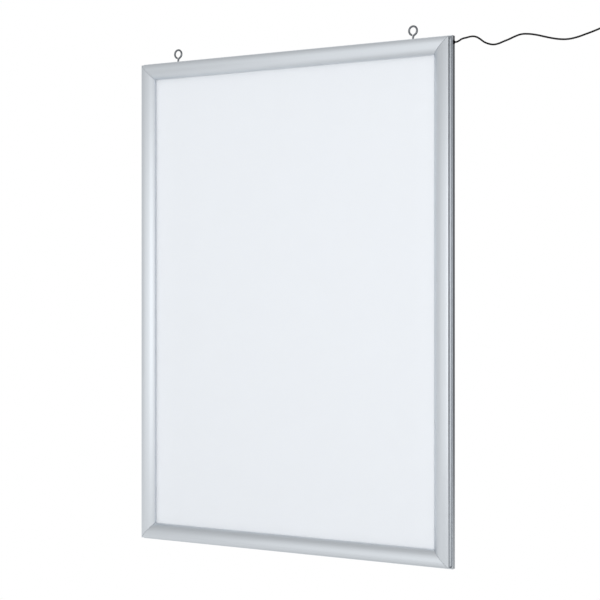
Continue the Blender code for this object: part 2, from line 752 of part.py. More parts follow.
def eye_route():
    """Centre line of a bent-wire eye: shank, shoulder, a bend to the right, round to the lower left."""
    foot = (0, 0, TOP_Z - EYE_SHANK)
    seat_z = TOP_Z + CLEARANCE
    shank = [foot, (0, 0, seat_z), (0, 0, seat_z + (EYE_WIRE - EYE_THREAD) / 2)]
    neck_z = -EYE_RADIUS - EYE_WIRE * EYE_NECK_SHARE
    join_turn = -pi / 2 + EYE_JOIN_TURN
    join = Vector((cos(join_turn), 0, sin(join_turn))) * EYE_RADIUS
    along = Vector((-sin(join_turn), 0, cos(join_turn))) * EYE_WIRE * EYE_HANDLE_SHARE
    neck = Vector((0, 0, neck_z))
    rise = Vector((0, 0, EYE_WIRE * EYE_HANDLE_SHARE))
    bend = bezier((neck, neck + rise, join - along, join), FILLET_STEPS + 2)
    ring = arc((0, 0), EYE_RADIUS, join_turn, 1.5 * pi - EYE_STOP_TURN, ROUND_SIDES - 2)
    return [*shank, *bend[:-1], *((x, 0, z) for x, z in ring)]


def make_eye(side, x):
    """Hanging eye of bent wire, with its thinner threaded shank through the top profile."""
    radii = (EYE_THREAD / 2, EYE_THREAD / 2)
    wire = (EYE_WIRE / 2, CORD_SIDES_RESOLUTION, "zinc_plated_steel", radii)
    eye = tube("eye_bolt_" + side, eye_route(), *wire)
    eye.location = (x, 0, 0)


def make_hanger_nut(side, x):
    """Plate nut inside the T-slot that holds an eye."""
    half = NUT_LENGTH / 2
    deep = (SLOT_TOP_V - BASE_FLOOR) / 2 - CLEARANCE
    c = NUT_CORNER
    outline = [
        (half - c, -deep), (half, c - deep), (half, deep - c), (half - c, deep),
        (c - half, deep), (-half, deep - c), (-half, c - deep), (c - half, -deep),
    ]
    hole = hole_ring((0, 0), EYE_THREAD / 2 + CLEARANCE, SMALL_SIDES)
    nut = plate("hanger_nut_" + side, [outline, hole], NUT_THICKNESS, "zinc_plated_steel")
    nut.location = (x, 0, TOP_Z - BASE_WALL - CLEARANCE - NUT_THICKNESS / 2)


def drill(base, name, radius, place, turn):
    """Round hole through a base profile's outer wall."""
    bm = bmesh.new()
    deep = BASE_WALL + OVERRUN
    bmesh.ops.create_cone(
        bm, segments=ROUND_SIDES, radius1=radius, radius2=radius, depth=2 * deep, cap_ends=True,
    )
    shape = cutter(name, bm)
    shape.location = place
    shape.rotation_euler = (0, turn, 0)
    cut(base, shape)


def make_grommet():
    """Rubber grommet pressed into the right profile, with its nose round the cord."""
    inner = BASE_WALL + CLEARANCE + GROMMET_NOSE / 2
    profile = (
        (0, -inner),
        (GROMMET_NECK_RADIUS, -inner),
        (GROMMET_NECK_RADIUS, CLEARANCE),
        (GROMMET_RADIUS, CLEARANCE),
        (GROMMET_RADIUS, GROMMET_FLANGE),
        (GROMMET_NECK_RADIUS + GROMMET_NOSE, GROMMET_FLANGE + GROMMET_NOSE),
        (0, GROMMET_FLANGE + GROMMET_NOSE),
    )
    grommet = turned("cord_grommet", profile, ROUND_SIDES, "black_rubber")
    grommet.rotation_euler = (0, pi / 2, 0)
    grommet.location = (HALF_WIDTH, 0, TOP_Z - GROMMET_DROP)


def make_cord():
    """Free stretch of the cord, level out of the grommet and over into the coil."""
    end_z = COIL_CENTRE[2] + CORD_DIAMETER + CLEARANCE
    end_x = COIL_CENTRE[0] + COIL_OUTER_RADIUS
    points = [(x, 0, z) for x, z in CORD_ROUTE] + [(end_x, 0, end_z)]
    route = [Vector(points[0]), *smooth_route(points[1:], 2 * CORD_DIAMETER)]
    tube("power_cord", route, CORD_DIAMETER / 2, CORD_SIDES_RESOLUTION, "black_pvc")


def coil_height(turns):
    """How many layers the coil has climbed, in the half turn at each reversal."""
    level = 0
    for reversal in range(1, COIL_LAYERS):
        middle = reversal * TURNS_PER_LAYER
        share = min(1, max(0, (turns - middle) / COIL_CLIMB_TURNS + 0.5))
        level += share * share * (3 - 2 * share)
    return level


def coil_turns():
    """Points on the coil's turns: in, out, in and out again over four layers."""
    count = round(COIL_LAYERS * TURNS_PER_LAYER * POINTS_PER_TURN)
    centre = Vector(COIL_CENTRE)
    points = []
    for i in range(count + 1):
        turns = i / POINTS_PER_TURN
        passed = turns % (2 * TURNS_PER_LAYER)
        inward = min(passed, 2 * TURNS_PER_LAYER - passed)
        radius = COIL_OUTER_RADIUS - COIL_TURN_PITCH * inward
        angle = -2 * pi * turns
        forward = coil_height(turns) * COIL_LAYER_PITCH
        points.append(centre + Vector((radius * cos(angle), -forward, radius * sin(angle))))
    return points


def least_gap(points, diameter):
    """Smallest space between turns, measured between points at least half a turn apart."""
    apart = POINTS_PER_TURN // 2
    nearest = min(
        (a - b).length for i, a in enumerate(points) for b in points[i + apart:]
    )
    return nearest - diameter


def make_coil():
    """Rest of the cord in a hanging coil, straight where it meets the stretch and the plug."""
    turns = coil_turns()
    start = turns[0] + Vector((0, 0, CORD_DIAMETER))
    end = turns[-1] - Vector((0, 0, COIL_TAIL))
    points = [start, *turns, end]
    print(f"power_cord_coil: least gap to itself {least_gap(points, CORD_DIAMETER) * 1000:.2f} mm")
    tube("power_cord_coil", points, CORD_DIAMETER / 2, COIL_SIDES_RESOLUTION, "black_pvc")
    return turns, end


def rounded_box(low, high, radius):
    """Outline of a rectangle with round corners."""
    outline = []
    corners = ((high[0], high[1]), (low[0], high[1]), (low[0], low[1]), (high[0], low[1]))
    for i, (x, y) in enumerate(corners):
        inward = (-1 if x == high[0] else 1, -1 if y == high[1] else 1)
        centre = (x + inward[0] * radius, y + inward[1] * radius)
        outline += arc(centre, radius, i * pi / 2, (i + 1) * pi / 2, FILLET_STEPS)
    return outline


def make_tie(turns):
    """Strap round all turns at the top of the coil."""
    centre = Vector(COIL_CENTRE)
    held = [p - centre for p in turns if abs(p.x - centre.x) < TIE_WIDTH and p.z > centre.z]
    room = CORD_DIAMETER / 2 + CLEARANCE
    low = (min(p.y for p in held) - room, min(p.z for p in held) - room)
    high = (max(p.y for p in held) + room, max(p.z for p in held) + room)
    wall = TIE_THICKNESS
    outer = rounded_box((low[0] - wall, low[1] - wall), (high[0] + wall, high[1] + wall), room + wall)
    inner = rounded_box(low, high, room)
    tie = plate("cord_tie", [outer, inner], TIE_WIDTH, "black_rubber")
    tie.rotation_euler = (pi / 2, 0, pi / 2)
    tie.location = centre


def plug_profile():
    """Moulded plug body, from the cord's end down: ribbed relief, shoulder, grip and socket."""
    relief = PLUG_NECK_LENGTH
    profile = [(0, 0), (PLUG_NECK_RADIUS, 0)]
    groove_count = int(relief / (2 * PLUG_RIB))
    for i in range(groove_count):
        start = (2 * i + 1) * PLUG_RIB
        end = start + PLUG_RIB
        top = PLUG_NECK_RADIUS + (PLUG_RADIUS - PLUG_NECK_RADIUS) * PLUG_TAPER_SHARE * start / relief
        profile += [(top, -start), (top - PLUG_GROOVE, -start), (top - PLUG_GROOVE, -end), (top, -end)]
    shoulder = relief + PLUG_RADIUS - PLUG_NECK_RADIUS
    bore = BARREL_RADIUS + CLEARANCE
    profile += [
        (PLUG_RADIUS - PLUG_GROOVE, -relief - PLUG_GROOVE),
        (PLUG_RADIUS, -shoulder),
        (PLUG_RADIUS, PLUG_GROOVE - PLUG_LENGTH),
        (PLUG_RADIUS - PLUG_GROOVE, -PLUG_LENGTH),
        (bore, -PLUG_LENGTH),
        (bore, PLUG_SOCKET_DEPTH - PLUG_LENGTH),
        (0, PLUG_SOCKET_DEPTH - PLUG_LENGTH),
    ]
    return profile


def make_plug(end):
    """Barrel plug on the end of the cord: moulded body, sleeve and inner insulator."""
    body = turned("dc_plug_body", plug_profile(), ROUND_SIDES, "black_pvc")
    top = end - Vector((0, 0, CLEARANCE))
    body.location = top
    seat = -PLUG_LENGTH + PLUG_SOCKET_DEPTH - CLEARANCE
    tip = seat - PLUG_SOCKET_DEPTH - BARREL_LENGTH
    inside = BARREL_RADIUS - BARREL_WALL
    sleeve = ((BARREL_RADIUS, seat), (BARREL_RADIUS, tip), (inside, tip), (inside, seat))
    barrel = turned("dc_plug_barrel", sleeve, ROUND_SIDES, "nickel_plate")
    barrel.location = top
    core_radius = inside - CLEARANCE
    core = (
        (0, seat),
        (core_radius, seat),
        (core_radius, tip + BARREL_WALL),
        (CONTACT_RADIUS, tip + BARREL_WALL),
        (CONTACT_RADIUS, seat - PLUG_SOCKET_DEPTH),
        (0, seat - PLUG_SOCKET_DEPTH),
    )
    insulator = turned("dc_plug_insulator", core, SMALL_SIDES, "black_pvc")
    insulator.location = top


def main():
    clear_scene()
    bases = {side: make_base(side) for side in SIDES}
    for side in SIDES:
        rail = make_rail(side)
        count = SPRINGS_ACROSS if side in ("top", "bottom") else SPRINGS_UPRIGHT
        make_springs(side, rail, count)
    make_corner_keys()
    make_key_screws()
    make_sheet("back_panel", PANEL_U, PANEL_V, BACK_PANEL_THICKNESS, "back_sheet")
    make_sheet("reflector_sheet", GUIDE_U, REFLECTOR_V, REFLECTOR_THICKNESS, "reflector_film")
    make_sheet("light_guide_panel", GUIDE_U, GUIDE_V, GUIDE_THICKNESS, "clear_acrylic")
    make_sheet("diffuser_sheet", POSTER_U, DIFFUSER_V, DIFFUSER_THICKNESS, "opal_acrylic")
    make_sheet("cover_sheet", POSTER_U, COVER_V, COVER_THICKNESS, "clear_sheet")
    for side in ("left", "right"):
        make_led_strip(side)
    make_supply_lead()
    make_linking_lead()
    for side, x in (("left", -EYE_X), ("right", EYE_X)):
        make_eye(side, x)
        make_hanger_nut(side, x)
        drill(bases["top"], "eye_hole_" + side, EYE_THREAD / 2 + CLEARANCE, (x, 0, TOP_Z), 0)
    grommet_place = (HALF_WIDTH, 0, TOP_Z - GROMMET_DROP)
    drill(bases["right"], "grommet_hole", GROMMET_NECK_RADIUS + CLEARANCE, grommet_place, pi / 2)
    make_grommet()
    make_cord()
    turns, coil_end = make_coil()
    make_tie(turns)
    make_plug(coil_end)
    bpy.context.view_layer.update()
    print(f"Base {2 * HALF_WIDTH:.4f} by {2 * HALF_HEIGHT:.4f} m, rails open {degrees(pi / 2):.0f} degrees")


if __name__ == "__main__":
    main()
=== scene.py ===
"""Illuminated snap frame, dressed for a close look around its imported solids.

X runs across the frame, the front looks toward -Y and Z is up, in metres. The origin lies
midway between the centres of the two hanging eyes. Sections are drawn in (u, v): u runs
inward from the outermost face of the base, and v runs forward from the back plane.
"""

from math import acos, asin, cos, hypot, pi, radians, sin, sqrt

import bmesh
import bpy
from mathutils import Matrix, Vector


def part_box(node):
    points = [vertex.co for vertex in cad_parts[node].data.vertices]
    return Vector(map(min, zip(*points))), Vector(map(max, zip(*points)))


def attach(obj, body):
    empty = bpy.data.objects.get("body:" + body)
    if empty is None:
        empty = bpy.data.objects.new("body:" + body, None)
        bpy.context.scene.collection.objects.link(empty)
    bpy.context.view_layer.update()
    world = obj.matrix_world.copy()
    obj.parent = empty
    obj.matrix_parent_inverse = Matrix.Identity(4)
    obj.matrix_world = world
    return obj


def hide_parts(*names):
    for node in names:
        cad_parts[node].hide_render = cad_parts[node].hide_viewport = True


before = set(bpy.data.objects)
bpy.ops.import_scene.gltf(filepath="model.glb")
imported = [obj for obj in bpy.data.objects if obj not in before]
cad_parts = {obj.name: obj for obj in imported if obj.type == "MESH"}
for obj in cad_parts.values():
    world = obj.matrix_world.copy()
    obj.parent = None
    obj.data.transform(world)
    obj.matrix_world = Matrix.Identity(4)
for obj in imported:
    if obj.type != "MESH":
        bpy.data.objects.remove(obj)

bl_info = {
    "name": "Illuminated Snap Frame",
    "version": (1, 0, 0),
    "blender": (4, 5, 0),
    "location": "3D View > Sidebar > Snap Frame",
    "description": "Dresses an edge-lit poster frame with hinged rails, and sets its stage",
    "category": "Object",
}

# Where the camera stands, and the lens that gives the photograph's frame
CAMERA_PLACE = (1.4265, -2.3123, -0.4453)
CAMERA_YAW = radians(31.306)
CAMERA_LENS = 92.33
CAMERA_SHIFT_UP = -0.0079

# Section of the hinged rail
RAIL_WIDTH = 0.028
RAIL_WALL = 0.0014
RAIL_OUTER_DROP = 0.0032
RAIL_INNER_DROP = 0.0075
RAIL_OUTER_FILLET = 0.0008
RAIL_INNER_FILLET = 0.0006
RAIL_TOE = 0.0033
RAIL_TOE_HEIGHT = 0.0011
FRAME_DEPTH = 0.0227
FOOT_V = 0.0116
BEAD_RADIUS = 0.0019
BEAD_SETBACK = 0.0024
SPRING_REACH = 0.01025
SPRING_RIB = 0.001
SPRING_RIB_DEPTH = 0.0019
SPRING_RIB_OFFSET = 0.00105

# Section of the base profile
CLEARANCE = 0.0003
MITRE_GAP = 0.0003
OVERRUN = 0.002
HINGE_HEIGHT = 0.010
SOCKET_WALL = 0.0013
BASE_FLOOR = 0.0015
BASE_WALL = 0.0014
BASE_FLANGE = 0.027
SLOT_INNER_U = 0.016
SLOT_TOP_V = 0.0065
CHANNEL_U = 0.0172
WALL_TOP_V = 0.011
SLOT_LIP = 0.0014
SLOT_LIP_HEIGHT = 0.001
BACK_Y = 0.004

# Grub screws of the corner keys
SCREW_RADIUS = 0.002
SCREW_THREAD = 0.0002
SCREW_SOCKET = 0.001
SCREW_SOCKET_DEPTH = 0.002
SCREW_PITCH = 0.0007
SCREW_RIM_SHARE = 1.15

# Light-emitting strips
BOARD_THICKNESS = 0.001
CHIP_HEIGHT = 0.001
CHIP_WIDTH = 0.0028
CHIP_LENGTH = 0.0035
CHIP_PITCH = 0.024
LENS_INSET = 0.0005
LENS_SLOPE = LENS_INSET / 5
LENS_DEPTH = LENS_INSET / 3
PAD_LENGTH = 0.0007
PAD_WIDTH = CHIP_WIDTH * 0.8
PAD_HEIGHT = CHIP_HEIGHT * 0.4
BOARD_EDGE = 0.00015
RESISTOR_SIZE = (0.0016, 0.0008, 0.0004)

# Bent-wire eyes
EYE_WIRE = 0.0034
EYE_THREAD = 0.0028
EYE_RADIUS = 0.0075
EYE_SHANK = 0.0062
EYE_NECK_SHARE = 1.45
EYE_HANDLE_SHARE = 0.9
EYE_JOIN_TURN = radians(30)
EYE_STOP_TURN = radians(15)
THREAD_DEPTH = 0.00018
THREAD_PITCH = 0.0005
THREAD_STEPS = 8
EASE_SHARE = 0.3

# Cord, its coil, strap, grommet and plug
CORD_DIAMETER = 0.003
COIL_CENTRE = (0.6198, 0.0, -0.080)
COIL_OUTER_RADIUS = 0.0227
COIL_TURN_PITCH = 0.00335
COIL_LAYER_PITCH = 0.0034
COIL_TAIL = 0.040
COIL_LAYERS = 4
TURNS_PER_LAYER = 3.25
POINTS_PER_TURN = 24
COIL_CLIMB_TURNS = 0.5
STRAP_LAYER = 0.0005
STRAP_GAP = 0.00008
STRAP_OVERLAP_TURNS = 1.62
STRAP_CLIMB_STEPS = 3
STRAP_EDGE = 0.00008
GROMMET_RADIUS = 0.0035
GROMMET_NECK_RADIUS = 0.0022
GROMMET_FLANGE = 0.001
GROMMET_NOSE = 0.0005
GROMMET_EDGE = 0.0004
PLUG_RADIUS = 0.0048
PLUG_NECK_RADIUS = 0.0022
PLUG_NECK_LENGTH = 0.011
PLUG_GROOVE = 0.0006
PLUG_RIB = 0.0016
PLUG_SOCKET_DEPTH = 0.002
PLUG_GRIP_DEPTH = 0.0003
PLUG_FLUTES = 16
PLUG_EDGE = 0.0003
BARREL_RADIUS = 0.00275
BARREL_WALL = 0.0004
CONTACT_RADIUS = 0.00105

# Route of the cord's free stretch as (x, z), from the grommet to the top of the coil
CORD_ROUTE = (
    (0.3206, -0.0256), (0.3240, -0.0256), (0.3285, -0.0240), (0.3335, -0.0215),
    (0.3405, -0.0203), (0.3527, -0.0190), (0.3595, -0.0205), (0.3656, -0.0240),
    (0.3740, -0.0302), (0.3826, -0.0340), (0.3903, -0.0356), (0.3979, -0.0350),
    (0.4081, -0.0321), (0.4182, -0.0291), (0.4299, -0.0251), (0.4391, -0.0231),
    (0.4515, -0.0237), (0.4648, -0.0263), (0.4795, -0.0305), (0.4942, -0.0345),
    (0.5105, -0.0374), (0.5218, -0.0377), (0.5345, -0.0360), (0.5488, -0.0325),
    (0.5616, -0.0290), (0.5723, -0.0257), (0.5860, -0.0208), (0.6010, -0.0172),
    (0.6160, -0.0170), (0.6290, -0.0228), (0.6382, -0.0350), (0.6420, -0.0510),
    (0.6425, -0.0650),
)

# Radii on the edges of the solids that keep their shape
SPRING_EDGE = 0.00006
CAST_EDGE = 0.0002
PANEL_EDGE = 0.0003
OPAL_EDGE = 0.0002
CLEAR_EDGE = 0.0001

# Distances under which points are joined
WELD = 0.000001
SOLID_WELD = 0.000002

# Smoothness of round stretches
BEAD_STEPS = 24
CROWN_STEPS = 40
FILLET_STEPS = 6
EYE_SIDES = 32
LATHE_SIDES = 64
SHARP_ANGLE = radians(32)
EDGE_ANGLE = radians(42)
EASED_SHARE = 1 / 2.2
CORD_ROUND_STEPS = 6
CORD_CURVE_STEPS = 5

# Fits worked out from the sections
SOCKET_BORE = BEAD_RADIUS + CLEARANCE
SOCKET_RADIUS = SOCKET_BORE + SOCKET_WALL
HINGE_U = SOCKET_RADIUS
HINGE = (HINGE_U, HINGE_HEIGHT)
HALF_NECK = RAIL_WALL / 2
NECK_ROOM = HALF_NECK + CLEARANCE
INNER_LIP_ANGLE = acos(NECK_ROOM / SOCKET_BORE)
OUTER_LIP_ANGLE = pi + asin(NECK_ROOM / SOCKET_BORE)
RAIL_FACE_U = HINGE_U - HALF_NECK
WINDOW_EDGE_U = RAIL_FACE_U + RAIL_WIDTH
SPRING_U = HINGE_U + SPRING_REACH
DROP_RATIO = RAIL_WIDTH / (RAIL_INNER_DROP - RAIL_OUTER_DROP)
CROWN_REACH = sqrt(RAIL_OUTER_DROP * RAIL_INNER_DROP * (1 + DROP_RATIO ** 2))
CROWN_INSET = CROWN_REACH - RAIL_OUTER_DROP * DROP_RATIO
CROWN_RADIUS = (CROWN_INSET ** 2 + RAIL_OUTER_DROP ** 2) / (2 * RAIL_OUTER_DROP)
CROWN_U = RAIL_FACE_U + CROWN_INSET
CROWN_V = FRAME_DEPTH - CROWN_RADIUS

# Overall sizes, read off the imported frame
HALF_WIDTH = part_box("base_right")[1].x
TOP_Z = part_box("base_top")[1].z
HALF_HEIGHT = (TOP_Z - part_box("base_bottom")[0].z) / 2
CENTRE_Z = TOP_Z - HALF_HEIGHT
SHOULDER_Z = TOP_Z + CLEARANCE

# Patterns: how far a die line runs for its width, how rough the grain is, two yarns of the weave,
# and the reach of a printed dot as a share of the pitch, at the middle and at the lit edges
DIE_LINE_STRETCH = 600
GRAIN_ROUGHNESS = 0.55
YARN_WAVE = 0.0012
DOT_SHARES = (0.6, 0.42)

# Glow of the panel from its middle out to its lit edges: from, to, low, high
PANEL_GLOW = (0.235, 0.29, 0.225, 0.25)

# Floor: how white the camera sees it by distance; the spot round which metal sees it darker, a painted
# shade of the frame; and how bright metal sees it away from that spot, a painted reflection
FLOOR_RADIUS = 3.2
FLOOR_WHITE = (1.4, 3.0, 0.75, 1.0)
FLOOR_PAINTED_SHADE_SPOT = (0.3, 0.9, 0)
FLOOR_PAINTED_REFLECTION = (0.9, 2.9, 0.2, 0.95)

# Room as metal sees it: toward the dark side behind, up and down, and from the left to the middle
ROOM_DARK_SIDE = (0.3, 0.95, 0)
ROOM_BEHIND = (0.35, 0.9, 1.0, 0.12)
ROOM_STEEP = (0.0, 0.85, 1.0, 0.62)
ROOM_LEFT = (-1.0, 0.0, 0.83, 1.0)

# Place and size of the lamps
WIDE_LAMP = ((0.2, -0.9, CENTRE_Z), (2.0, 1.1))
TALL_LAMP = ((1.9, -2.4, -0.33), (2.4, 2.4))

# Turn about Y of every side, its half length and its distance from the frame's centre
SIDES = {
    "top": (pi, HALF_WIDTH, HALF_HEIGHT),
    "bottom": (0, HALF_WIDTH, HALF_HEIGHT),
    "left": (pi / 2, HALF_HEIGHT, HALF_WIDTH),
    "right": (-pi / 2, HALF_HEIGHT, HALF_WIDTH),
}
UPRIGHTS = ("left", "right")


def linear(colour):
    """Linear red, green, blue and alpha of an sRGB hex colour."""
    channels = [int(colour[i:i + 2], 16) / 255 for i in (1, 3, 5)]
    return (*[c / 12.92 if c <= 0.04045 else ((c + 0.055) / 1.055) ** 2.4 for c in channels], 1)


class SnapFrameLook(bpy.types.PropertyGroup):
    """Colours and small sizes of the dressed frame."""

    aluminium: bpy.props.FloatVectorProperty(
        name="Aluminium", description="Colour of the anodised profiles",
        subtype="COLOR", size=4, min=0, max=1, default=linear("#D5DADF"),
    )
    panel: bpy.props.FloatVectorProperty(
        name="Panel", description="Colour of the opal panel behind the cover sheet",
        subtype="COLOR", size=4, min=0, max=1, default=linear("#EFF2F5"),
    )
    back: bpy.props.FloatVectorProperty(
        name="Back", description="Colour of the coated back panel",
        subtype="COLOR", size=4, min=0, max=1, default=linear("#D9DADB"),
    )
    cord: bpy.props.FloatVectorProperty(
        name="Cord", description="Colour of the cord and its plug",
        subtype="COLOR", size=4, min=0, max=1, default=linear("#040405"),
    )
    edge_round: bpy.props.FloatProperty(
        name="Edge round", description="Radius on the sharp edges of the profiles",
        subtype="DISTANCE", unit="LENGTH", min=0, max=0.0003, default=0.00012,
    )
    die_line: bpy.props.FloatProperty(
        name="Die line", description="Spacing of the lines that the die leaves along a profile",
        subtype="DISTANCE", unit="LENGTH", min=0.0001, max=0.002, default=0.0005,
    )
    dot_pitch: bpy.props.FloatProperty(
        name="Dot pitch", description="Spacing of the printed dots on the light guide",
        subtype="DISTANCE", unit="LENGTH", min=0.0005, max=0.01, default=0.002,
    )


class SnapFrameStage(bpy.types.PropertyGroup):
    """Floor, lamps and background around the frame."""

    floor_drop: bpy.props.FloatProperty(
        name="Floor drop", description="Height of the hanging frame above the floor",
        subtype="DISTANCE", unit="LENGTH", min=0.05, max=3, default=0.7,
    )
    wide_power: bpy.props.FloatProperty(
        name="Wide lamp", description="Power of the wide lamp close in front of the frame",
        subtype="POWER", min=0, max=500, default=1.3,
    )
    tall_power: bpy.props.FloatProperty(
        name="Tall lamp", description="Power of the tall lamp that draws the line of light on the uprights",
        subtype="POWER", min=0, max=500, default=10,
    )
    room_light: bpy.props.FloatProperty(
        name="Room light", description="Even light from all round",
        min=0, max=1, default=0.72,
    )


def add_node(tree, kind, inputs=None, **settings):
    """Add a node with its settings; inputs gives each socket a value or the socket linked to it."""
    made = tree.nodes.new(kind)
    for name, value in settings.items():
        setattr(made, name, value)
    for key, value in (inputs or {}).items():
        if isinstance(value, bpy.types.NodeSocket):
            tree.links.new(value, made.inputs[key])
        else:
            made.inputs[key].default_value = value
    return made


def maths(tree, operation, *values):
    """Result of a maths node."""
    return add_node(tree, "ShaderNodeMath", dict(enumerate(values)), operation=operation).outputs[0]


def mapped(tree, value, start, end, low, high, kind="SMOOTHSTEP"):
    """A value carried from the span start-end to low-high, and held beyond it."""
    spans = {"Value": value, "From Min": start, "From Max": end, "To Min": low, "To Max": high}
    return add_node(tree, "ShaderNodeMapRange", spans, interpolation_type=kind).outputs[0]


def object_place(tree):
    """Place on the object itself, in metres."""
    return add_node(tree, "ShaderNodeTexCoord").outputs["Object"]


def split(tree, vector):
    """X, Y and Z of a vector."""
    return add_node(tree, "ShaderNodeSeparateXYZ", {0: vector}).outputs


def shader_of(material):
    """The main shader of a material."""
    return material.node_tree.nodes["Principled BSDF"]


def new_material(name, colour, roughness, metallic=0.0, **sockets):
    """Material with even values on its shader; a pattern is linked in afterwards."""
    if isinstance(colour, str):
        colour = linear(colour)
    material = bpy.data.materials.new(name)
    material.use_nodes = True
    material.diffuse_color = tuple(colour)
    shader = shader_of(material)
    shader.inputs["Base Color"].default_value = tuple(colour)
    shader.inputs["Roughness"].default_value = roughness
    shader.inputs["Metallic"].default_value = metallic
    for socket, value in sockets.items():
        shader.inputs[socket.replace("_", " ")].default_value = value
    return material


def add_grain(material, pattern, height, tint=0.0, gloss=0.0):
    """Let a pattern raise a surface, shade its colour and vary its roughness."""
    tree = material.node_tree
    shader = shader_of(material)
    bump = add_node(tree, "ShaderNodeBump", {"Height": pattern, "Distance": height, "Strength": 1.0})
    tree.links.new(bump.outputs[0], shader.inputs["Normal"])
    if tint:
        colour = tuple(shader.inputs["Base Color"].default_value)
        dark = tuple(c * (1 - tint) for c in colour[:3]) + (1,)
        light = tuple(min(1, c * (1 + tint)) for c in colour[:3]) + (1,)
        mixed = add_node(tree, "ShaderNodeMix", {0: pattern, 6: dark, 7: light}, data_type="RGBA")
        tree.links.new(mixed.outputs[2], shader.inputs["Base Color"])
    if gloss:
        level = shader.inputs["Roughness"].default_value
        varied = mapped(tree, pattern, 0, 1, level - gloss, level + gloss, "LINEAR")
        tree.links.new(varied, shader.inputs["Roughness"])


def noise_grain(material, spacing, height, tint=0.0, gloss=0.0, detail=3.0):
    """Grain of noise, spaced in metres alike all ways or along X, Y and Z of the object.

    A grain that is too fine to show, such as die lines or a casting's skin, is drawn coarser.
    """
    tree = material.node_tree
    scale = tuple(1 / s for s in (spacing if isinstance(spacing, tuple) else (spacing,) * 3))
    fitted = add_node(tree, "ShaderNodeMapping", {"Vector": object_place(tree), "Scale": scale})
    noise = {"Vector": fitted.outputs[0], "Scale": 1.0, "Detail": detail, "Roughness": GRAIN_ROUGHNESS}
    pattern = add_node(tree, "ShaderNodeTexNoise", noise).outputs["Fac"]
    add_grain(material, pattern, height, tint, gloss)
    return material


def anodised_aluminium(look, upright):
    """Extruded aluminium, etched and anodised: satin, cool grey, faintly lined along its length."""
    name = "anodised_aluminium_" + ("upright" if upright else "across")
    if name in bpy.data.materials:
        return bpy.data.materials[name]
    long, short = look.die_line * DIE_LINE_STRETCH, look.die_line
    spacing = (short, short, long) if upright else (long, short, short)
    metal = new_material(name, look.aluminium, 0.4, 1.0)
    return noise_grain(metal, spacing, 0.000006, tint=0.05, gloss=0.05, detail=4.0)


def zinc_plate():
    """Bright zinc on drawn wire: mirror-like but slightly clouded; its grey is darker than the zinc's own,
    a painted dark reflection of the surroundings.
    """
    # Painted reflection: this grey is darkened to stand for the dark surroundings that the wire reflects
    metal = new_material("zinc_plated_wire", "#787C80", 0.15, 1.0)
    return noise_grain(metal, 0.0012, 0.000008, tint=0.08, gloss=0.06)


def spring_steel():
    """Blue-grey rolled spring strip with fine rolling lines."""
    metal = new_material("rolled_spring_steel", "#8A8E94", 0.28, 1.0)
    return noise_grain(metal, (0.004, 0.0004, 0.004), 0.000006, tint=0.1, gloss=0.06)


def cast_zinc():
    """Die-cast zinc: dull grey with a sandy skin."""
    metal = new_material("die_cast_zinc", "#96999C", 0.48, 1.0)
    return noise_grain(metal, 0.0006, 0.00003, tint=0.08, gloss=0.08)


def black_oxide():
    """Blackened alloy steel of socket screws: near black with a low oily sheen."""
    metal = new_material("black_oxide_steel", "#2A2A2C", 0.36, 1.0)
    return noise_grain(metal, 0.0005, 0.000008, tint=0.15, gloss=0.08)


def nickel_plate():
    """Bright nickel on the plug's sleeve: warm, smooth and highly reflective."""
    metal = new_material("bright_nickel_plate", "#CFC9BE", 0.14, 1.0)
    return noise_grain(metal, 0.0008, 0.000004, tint=0.05, gloss=0.04)


def coated_sheet(look):
    """Stoved white-grey coating on sheet metal: matt with slight orange peel."""
    coat = new_material("coated_back_sheet", look.back, 0.5, IOR=1.5)
    return noise_grain(coat, 0.0018, 0.00003, tint=0.012, gloss=0.05, detail=1.0)


def reflector_film():
    """White polyester reflector film: bright, even and half matt."""
    film = new_material("reflector_film", "#F2F2F1", 0.45, IOR=1.6)
    return noise_grain(film, 0.003, 0.00001, tint=0.01)


def opal_acrylic(look):
    """Opal acrylic lit from behind: milky and even, a little brighter toward the lit edges."""
    opal = new_material("opal_acrylic", look.panel, 0.42, IOR=1.49, Specular_IOR_Level=0.4)
    tree = opal.node_tree
    side = maths(tree, "ABSOLUTE", split(tree, object_place(tree))["X"])
    glow = mapped(tree, side, *PANEL_GLOW)
    shader_of(opal).inputs["Emission Color"].default_value = linear("#F6F9FF")
    tree.links.new(glow, shader_of(opal).inputs["Emission Strength"])
    return noise_grain(opal, 0.0025, 0.000004, tint=0.004)


def clear_cover():
    """Clear anti-glare film over the poster: see-through, with a soft broad shine."""
    film = new_material("clear_cover_film", "#EEF1F5", 0.3, IOR=1.5, Alpha=0.12)
    return noise_grain(film, 0.004, 0.000001, gloss=0.03)


def light_guide(look):
    """Clear acrylic printed with white dots that grow toward the middle of the guide."""
    acrylic = new_material("dotted_light_guide", "#F1F7F7", 0.06, IOR=1.49)
    tree = acrylic.node_tree
    place = object_place(tree)
    dots = {"Vector": place, "Scale": 1 / look.dot_pitch, "Randomness": 0.0}
    near = add_node(tree, "ShaderNodeTexVoronoi", dots, voronoi_dimensions="3D")
    side = maths(tree, "ABSOLUTE", split(tree, place)["X"])
    size = mapped(tree, side, 0, HALF_WIDTH, *DOT_SHARES, "LINEAR")
    ink = maths(tree, "LESS_THAN", near.outputs["Distance"], size)
    for socket, clear, inked in (("Transmission Weight", 0.85, 0.0), ("Roughness", 0.06, 0.6)):
        tree.links.new(mapped(tree, ink, 0, 1, clear, inked, "LINEAR"), shader_of(acrylic).inputs[socket])
    return acrylic


def soft_plastic(name, colour, roughness, spacing):
    """Flexible plastic or rubber with a fine moulded or drawn skin."""
    skin = new_material(name, colour, roughness, IOR=1.5, Specular_IOR_Level=0.22)
    return noise_grain(skin, spacing, 0.00001, tint=0.06, gloss=0.06)


